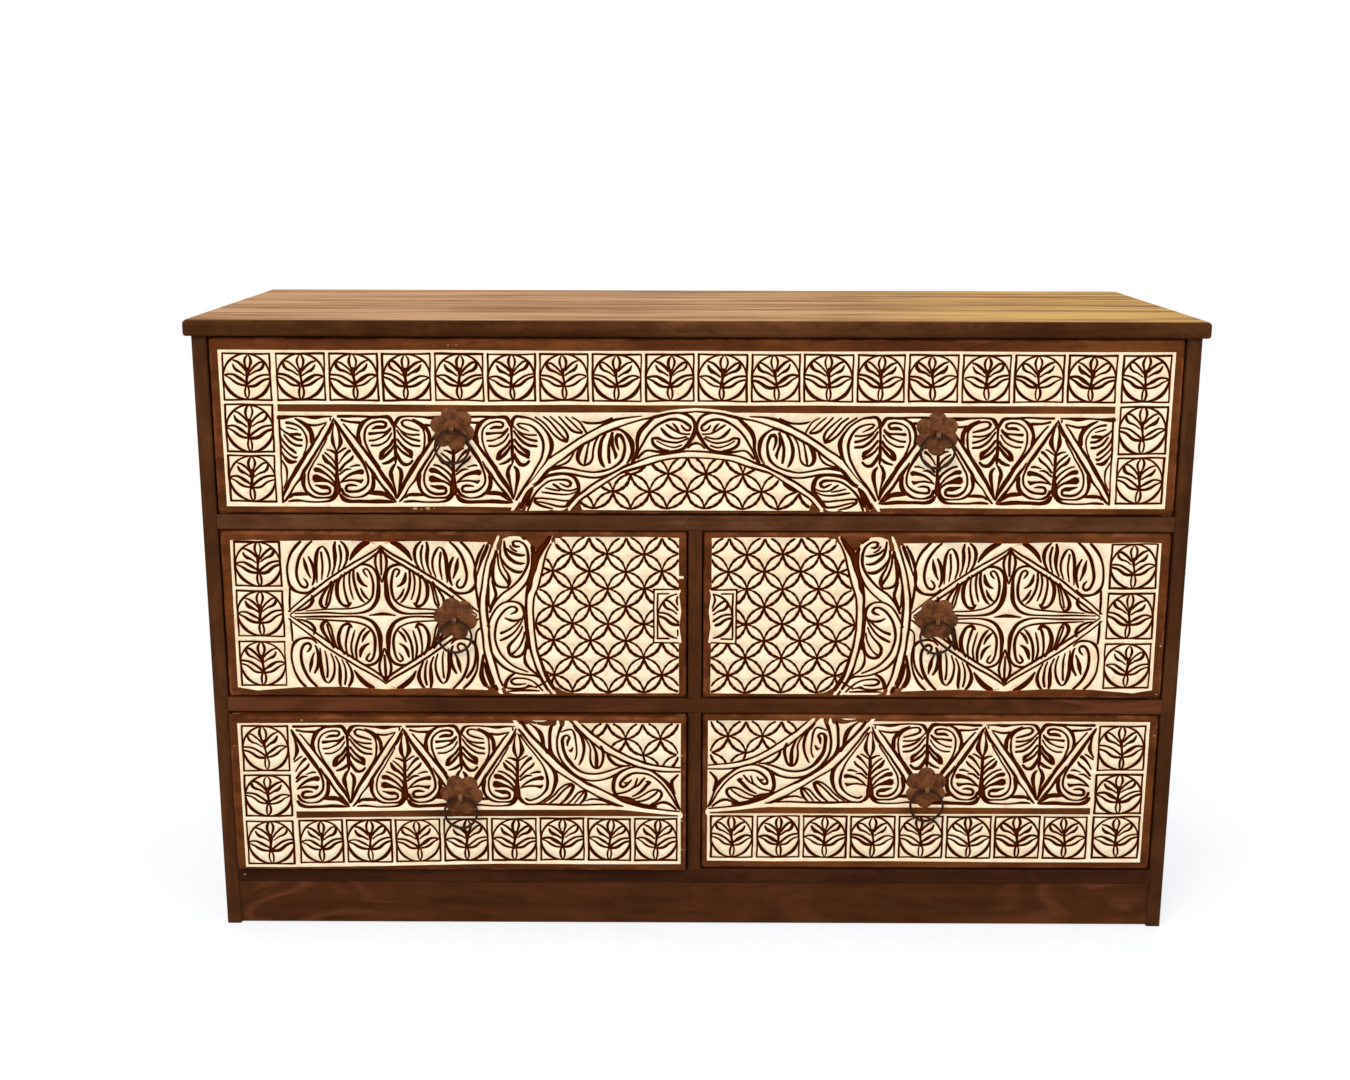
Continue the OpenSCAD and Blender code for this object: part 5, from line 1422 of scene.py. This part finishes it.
def petal_plates(node, body, pulls, rng):
    """Beaten plates of six petals, each a little different, with creases between the petals and a hole for
    the staple. pulls: x, z and turn of each."""
    bm = bmesh.new()
    back_y = max(v.co.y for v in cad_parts[node].data.vertices)
    for x0, z0, turn in pulls:
        lobes = []
        for i in range(6):
            at = turn + 30 + 60 * i + rng.uniform(-2.5, 2.5)
            lobes.append((at, LOBE_R * rng.uniform(0.97, 1.0), LOBE_OUT * rng.uniform(0.97, 1.0)))
        dents = []
        for _ in range(16):
            place = rng.uniform(-24, 24), rng.uniform(-24, 24)
            dents.append((*place, rng.uniform(2.5, 5), rng.uniform(-0.22, 0.12)))
        rows = []
        for f in PLATE_RINGS:
            row = []
            for k in range(PLATE_STEPS):
                angle = 360 * k / PLATE_STEPS
                edge, crease = petal_reach(lobes, angle)
                x, z = f * edge * math.cos(math.radians(angle)), f * edge * math.sin(math.radians(angle))
                h = plate_height(x, z, f, crease, dents)
                row.append(bm.verts.new(((x0 + x) * MM, back_y - h * MM, (z0 + z) * MM)))
            rows.append(row)
        for row in (rows[-1], rows[0]):
            rows.append([bm.verts.new((v.co.x, back_y - 0.02 * MM, v.co.z)) for v in row])
        for near, far in zip(rows, rows[1:] + rows[:1]):
            skin(bm, near, far)
    new_piece(node + "_beaten", bm, [IRON], body, node, 42)


def pull_ring(node, rng):
    """A ring bent from iron wire: not quite round, worn thinner where it hangs in the staple."""
    box = spans(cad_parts[node].data.vertices)
    cx, cy, cz = ((lo + hi) / 2 / MM for lo, hi in box)
    wide, thick, _ = (hi - lo for lo, hi in box)
    wire = thick / 2 / MM
    radius = wide / 2 / MM - wire
    bm = bmesh.new()
    wobble, place = rng.uniform(0.2, 0.45), rng.uniform(0, 6)
    rows = []
    for i in range(RING_STEPS):
        a = 2 * math.pi * i / RING_STEPS
        down = (1 - math.sin(a)) / 2
        r = radius + wobble * down * math.sin(3 * a + place) - 0.25 * down
        w = wire * (0.97 + 0.22 * down) + 0.06 * down * math.sin(7 * a + place)
        row = []
        for k in range(WIRE_STEPS):
            b = 2 * math.pi * k / WIRE_STEPS
            out = r + w * math.cos(b)
            x, y, z = cx + out * math.cos(a), cy + w * math.sin(b), cz + out * math.sin(a)
            row.append(bm.verts.new((x * MM, y * MM, z * MM)))
        rows.append(row)
    along_ring = list(zip(*rows))
    for near, far in zip(along_ring, along_ring[1:] + along_ring[:1]):
        skin(bm, near, far)
    new_piece(node + "_bent", bm, [RING_IRON], node, node)


# Worn edges and flecks

FACE_Y = -196.45  # the plane of the fronts, in mm
LEFT_OUT = 11  # the bottom left drawer stands so far out of it
RIM_STEPS = 14  # the vertices round a fleck
RIM_UP, SHOULDER_UP, TOP_UP = 0.02, 0.22, 0.28  # how far a fleck's rim, shoulder and top stand out, in mm
X, Z = 0, 2  # the axes that a board's edge may run along


def eased(node, radius, axis, material):
    """The CAD node with the front edges that run along one axis rounded by use."""
    bm = bmesh.new()
    bm.from_mesh(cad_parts[node].data)
    front = min(v.co.y for v in bm.verts) + 10 * SAME

    def rounded(edge):
        ends = [v.co for v in edge.verts]
        at_front = all(end.y < front for end in ends)
        is_sharp = not edge.is_boundary and edge.calc_face_angle(0) > 0.5
        return at_front and is_sharp and abs(ends[0][axis] - ends[1][axis]) > 0.9 * edge.calc_length()

    bmesh.ops.bevel(bm, geom=[e for e in bm.edges if rounded(e)], offset=radius * MM, segments=6, profile=0.5,
                    affect="EDGES", clamp_overlap=True)
    for f in bm.faces:
        f.smooth = True
        f.material_index = 0
    new_piece(node + "_worn", bm, [material], "case", node, 30)


def flecks(name, body, y, spots, rng):
    """Small chips where the stain is gone, and heads of pins: x, z and half width in mm on a front's face."""
    bm = bmesh.new()
    for x0, z0, size in spots:
        top = bm.verts.new((x0 * MM, (y - TOP_UP) * MM, z0 * MM))
        rim = []
        for k in range(RIM_STEPS):
            a = 2 * math.pi * k / RIM_STEPS
            r = size * rng.uniform(0.75, 1.15)
            x, z = x0 + 1.25 * r * math.cos(a), z0 + 0.8 * r * math.sin(a)
            rim.append(bm.verts.new((x * MM, (y - RIM_UP) * MM, z * MM)))
        inner = []
        for v in rim:
            x, z = (v.co.x + top.co.x) / 2, (v.co.z + top.co.z) / 2
            inner.append(bm.verts.new((x, (y - SHOULDER_UP) * MM, z)))
        skin(bm, rim, inner)
        for a, b in zip(inner, inner[1:] + inner[:1]):
            bm.faces.new((a, b, top)).smooth = True
    new_piece(name, bm, [FLECK], body)


# The pieces. Each pull has its place on the front, x and z in mm, and its plate's turn in degrees

PULLS = {
    "top": [(-293.25, 647, 12), (290.25, 643, 0)],
    "middle_left": [(-296.25, 409.5, 18)],
    "middle_right": [(298.25, 410.5, 29)],
    "bottom_left": [(-293.25, 182.5, 25)],
    "bottom_right": [(293.25, 189.5, 0)],
}
RINGS = ("top_ring_left", "top_ring_right", "middle_left_ring", "middle_right_ring", "bottom_left_ring",
         "bottom_right_ring")
# Each board's edge radius in mm, the axis it runs along, and its wood
WORN_BOARDS = {
    # the upper rail's paler wood is painted light, and the bottom rail's darker wood is painted shade
    "rail_upper": (7.5, X, RAIL_PAINTED_LIT),
    "rail_lower": (7.5, X, CASE_X),
    "rail_bottom": (4.5, X, RAIL_PAINTED_SHADE),
    "divider_middle": (6.5, Z, CASE_Z),
    "divider_bottom": (6.5, Z, CASE_Z),
    "side_panel_left": (2.0, Z, CASE_Z),
    "side_panel_right": (2.0, Z, CASE_Z),
    "plinth_board": (1.5, X, CASE_X),
}
# The body and the plane of each group of flecks, then each one's x, z and half width, in mm
FLECKS = {
    "flecks_top": ("drawer_top", FACE_Y, [
        (-341.6, 548.3, 2.2), (-325.8, 548.4, 2.3), (-334, 547.6, 1.0), (-318.5, 548.8, 0.8),
        (-296, 747.2, 0.9), (-286, 747.8, 0.7), (-312, 747.0, 0.6)]),
    "flecks_middle_right": ("drawer_middle_right", FACE_Y, [(576.5, 314.2, 1.2), (577.4, 377, 1.4)]),
    "flecks_bottom_right": ("drawer_bottom_right", FACE_Y, [(577.6, 259.6, 1.3)]),
    "flecks_bottom_left": ("drawer_bottom_left", FACE_Y - LEFT_OUT, [
        (-576.1, 245.8, 1.1), (-490.3, 280.2, 1.3), (-15.4, 235.1, 1.1), (-15.2, 147.6, 1.2),
        (-15.4, 108.6, 1.1)]),
    "flecks_case": ("case", FACE_Y, [(-576.2, 67.9, 1.2)]),
}


def carve_top(rng):
    """The top front, its field and its band drawn from the left end to the middle, then mirrored."""
    field = TOP_FIELD + mirrored(TOP_FIELD[:-1]) + mirrored(TOP_FIELD_UP) + TOP_FIELD_UP[1:]
    band = TOP_BAND + mirrored(TOP_BAND[:-1]) + mirrored(TOP_BAND_LOW) + TOP_BAND_LOW[1:]
    carved_front("top", top_carving(rng), field, [band], rng)


def carve_middle(rng):
    """The middle fronts. The right one's field lacks the notch beside the divider."""
    left, right = middle_carving(rng), mirror(middle_carving(rng))
    carved_front("middle_left", left, MIDDLE_FIELD, [], rng)
    carved_front("middle_right", right, [(x, z) for x, z in mirrored(MIDDLE_FIELD) if x >= 12], [], rng)


def carve_bottom(rng):
    """The bottom fronts. The left one's carving leans, and the squares at the outer ends differ in height."""
    left = bottom_carving(rng, ((216, 273.8), (156.8, 210), (93.4, 149.5)))
    right = mirror(bottom_carving(rng, ((213.5, 271.5), (155, 207), (94.5, 150.1))))
    field, band = ([(x, z + downhill(x, z)) for x, z in line] for line in (BOTTOM_FIELD, BOTTOM_BAND))
    carved_front("bottom_left", left, field, [band], rng, downhill)
    carved_front("bottom_right", right, mirrored(BOTTOM_FIELD), [mirrored(BOTTOM_BAND)], rng)


rng = random.Random(11)
carve_top(rng)
carve_middle(rng)
carve_bottom(rng)
for part, pulls in PULLS.items():
    petal_plates("top_plates" if part == "top" else part + "_plate", "drawer_" + part, pulls, rng)
for ring in RINGS:
    pull_ring(ring, rng)
for board, (radius, axis, material) in WORN_BOARDS.items():
    eased(board, radius, axis, material)
for name, (body, y, spots) in FLECKS.items():
    flecks(name, body, y, spots, rng)

# Studio, in m

FLOOR_FRONT, FLOOR_BACK, FLOOR_HALF, BACKDROP_TOP = -4.0, 1.6, 6.0, 5.0
BEND_R, BEND_STEPS = 1.2, 24  # the floor's bend into the backdrop
FLOOR_GLOW = 0.72  # how bright the floor is by itself for a ray that shows it
WHITE_FROM, WHITE_TO = 0.75, 1.7  # how far from the middle it turns white
WORLD_LIGHT = 0.5


def studio_paper():
    """Pale paper. A ray that shows it sees it whiter the further it is from the object."""
    n = Nodes("studio_paper")
    grain = n.noise(60, 3, 0.6)
    paper = n.finish(n.mix(grain, srgb("a8a7a5"), srgb("a3a2a0")), 0.85, grain, 0.05, 0.0005)
    seen = n.seen()
    n.put(n.bsdf.inputs["Emission Color"], (0.92, 0.96, 1.0, 1.0))
    n.put(n.bsdf.inputs["Emission Strength"], n.times(seen, FLOOR_GLOW))
    far = n.new("ShaderNodeVectorMath", operation="LENGTH")
    n.link(n.coords, far.inputs[0])
    whiter = n.times(seen, n.ramp(far.outputs["Value"], WHITE_FROM, WHITE_TO))
    n.link(n.mix_shaders(whiter, n.bsdf, n.new("ShaderNodeEmission")), n.out.inputs[0])
    return paper


def stage_floor():
    """A floor that curves up into a backdrop."""
    profile = [(FLOOR_FRONT, 0.0), (FLOOR_BACK, 0.0)]
    for i in range(1, BEND_STEPS + 1):
        t = i / BEND_STEPS * math.pi / 2
        profile.append((FLOOR_BACK + BEND_R * math.sin(t), BEND_R - BEND_R * math.cos(t)))
    profile.append((FLOOR_BACK + BEND_R, BACKDROP_TOP))
    bm = bmesh.new()
    left, right = [[bm.verts.new((x, y, z)) for y, z in profile] for x in (-FLOOR_HALF, FLOOR_HALF)]
    for i in range(len(profile) - 1):
        bm.faces.new((left[i], right[i], right[i + 1], left[i + 1])).smooth = True
    floor = new_object("studio_floor", bm, [studio_paper()])


def lamp(name, place, aim, size, watts, color):
    """A rectangular softbox that looks from its place at its aim."""
    data = bpy.data.lights.new(name, "AREA")
    data.shape = "RECTANGLE"
    data.size, data.size_y = size
    data.energy, data.color = watts, color
    obj = bpy.data.objects.new(name, data)
    obj.location = place
    obj.rotation_euler = (Vector(aim) - Vector(place)).to_track_quat("-Z", "Y").to_euler()
    bpy.context.scene.collection.objects.link(obj)


def studio_world():
    """Soft even light, and plain white for a ray that shows the world itself."""
    world = bpy.data.worlds.new("studio_world")
    bpy.context.scene.world = world
    world.use_nodes = True
    n = Tree(world.node_tree)
    lights = []
    for strength in (WORLD_LIGHT, 1.0):
        light = n.new("ShaderNodeBackground")
        light.inputs["Strength"].default_value = strength
        light.inputs["Color"].default_value = (1.0, 1.0, 1.0, 1.0)
        lights.append(light)
    n.link(n.mix_shaders(n.seen(), *lights), n.new("ShaderNodeOutputWorld").inputs[0])


stage_floor()
lamp("key_softbox", (-1.6, -3.4, 2.6), (0, 0, 0.4), (2.0, 1.6), 92, (1.0, 0.96, 0.9))
lamp("fill_softbox", (2.4, -3.0, 1.6), (0, 0, 0.4), (2.0, 2.0), 45, (1.0, 0.97, 0.93))
lamp("top_softbox", (0.0, 0.6, 3.2), (0, 0.1, 0.7), (2.4, 1.6), 39, (1.0, 0.98, 0.95))
studio_world()

# The photo's camera: its place in m, its turns in degrees and its lens in mm

EYE = (-0.0196, -2.1841, 0.9728)
PAN, TILT, ROLL = 0.154, -13.108, 0.142
LENS, SENSOR = 44.52, 36.0


def turn(degrees, axis):
    return Matrix.Rotation(math.radians(degrees), 4, axis)


camera = bpy.data.cameras.new("camera")
camera.lens, camera.sensor_width, camera.clip_start = LENS, SENSOR, 0.05
eye = bpy.data.objects.new("camera", camera)
bpy.context.scene.collection.objects.link(eye)
eye.matrix_world = Matrix.Translation(EYE) @ turn(PAN, "Z") @ turn(90 + TILT, "X") @ turn(ROLL, "Z")
bpy.context.scene.camera = eye
bpy.context.scene.view_settings.view_transform = "Standard"
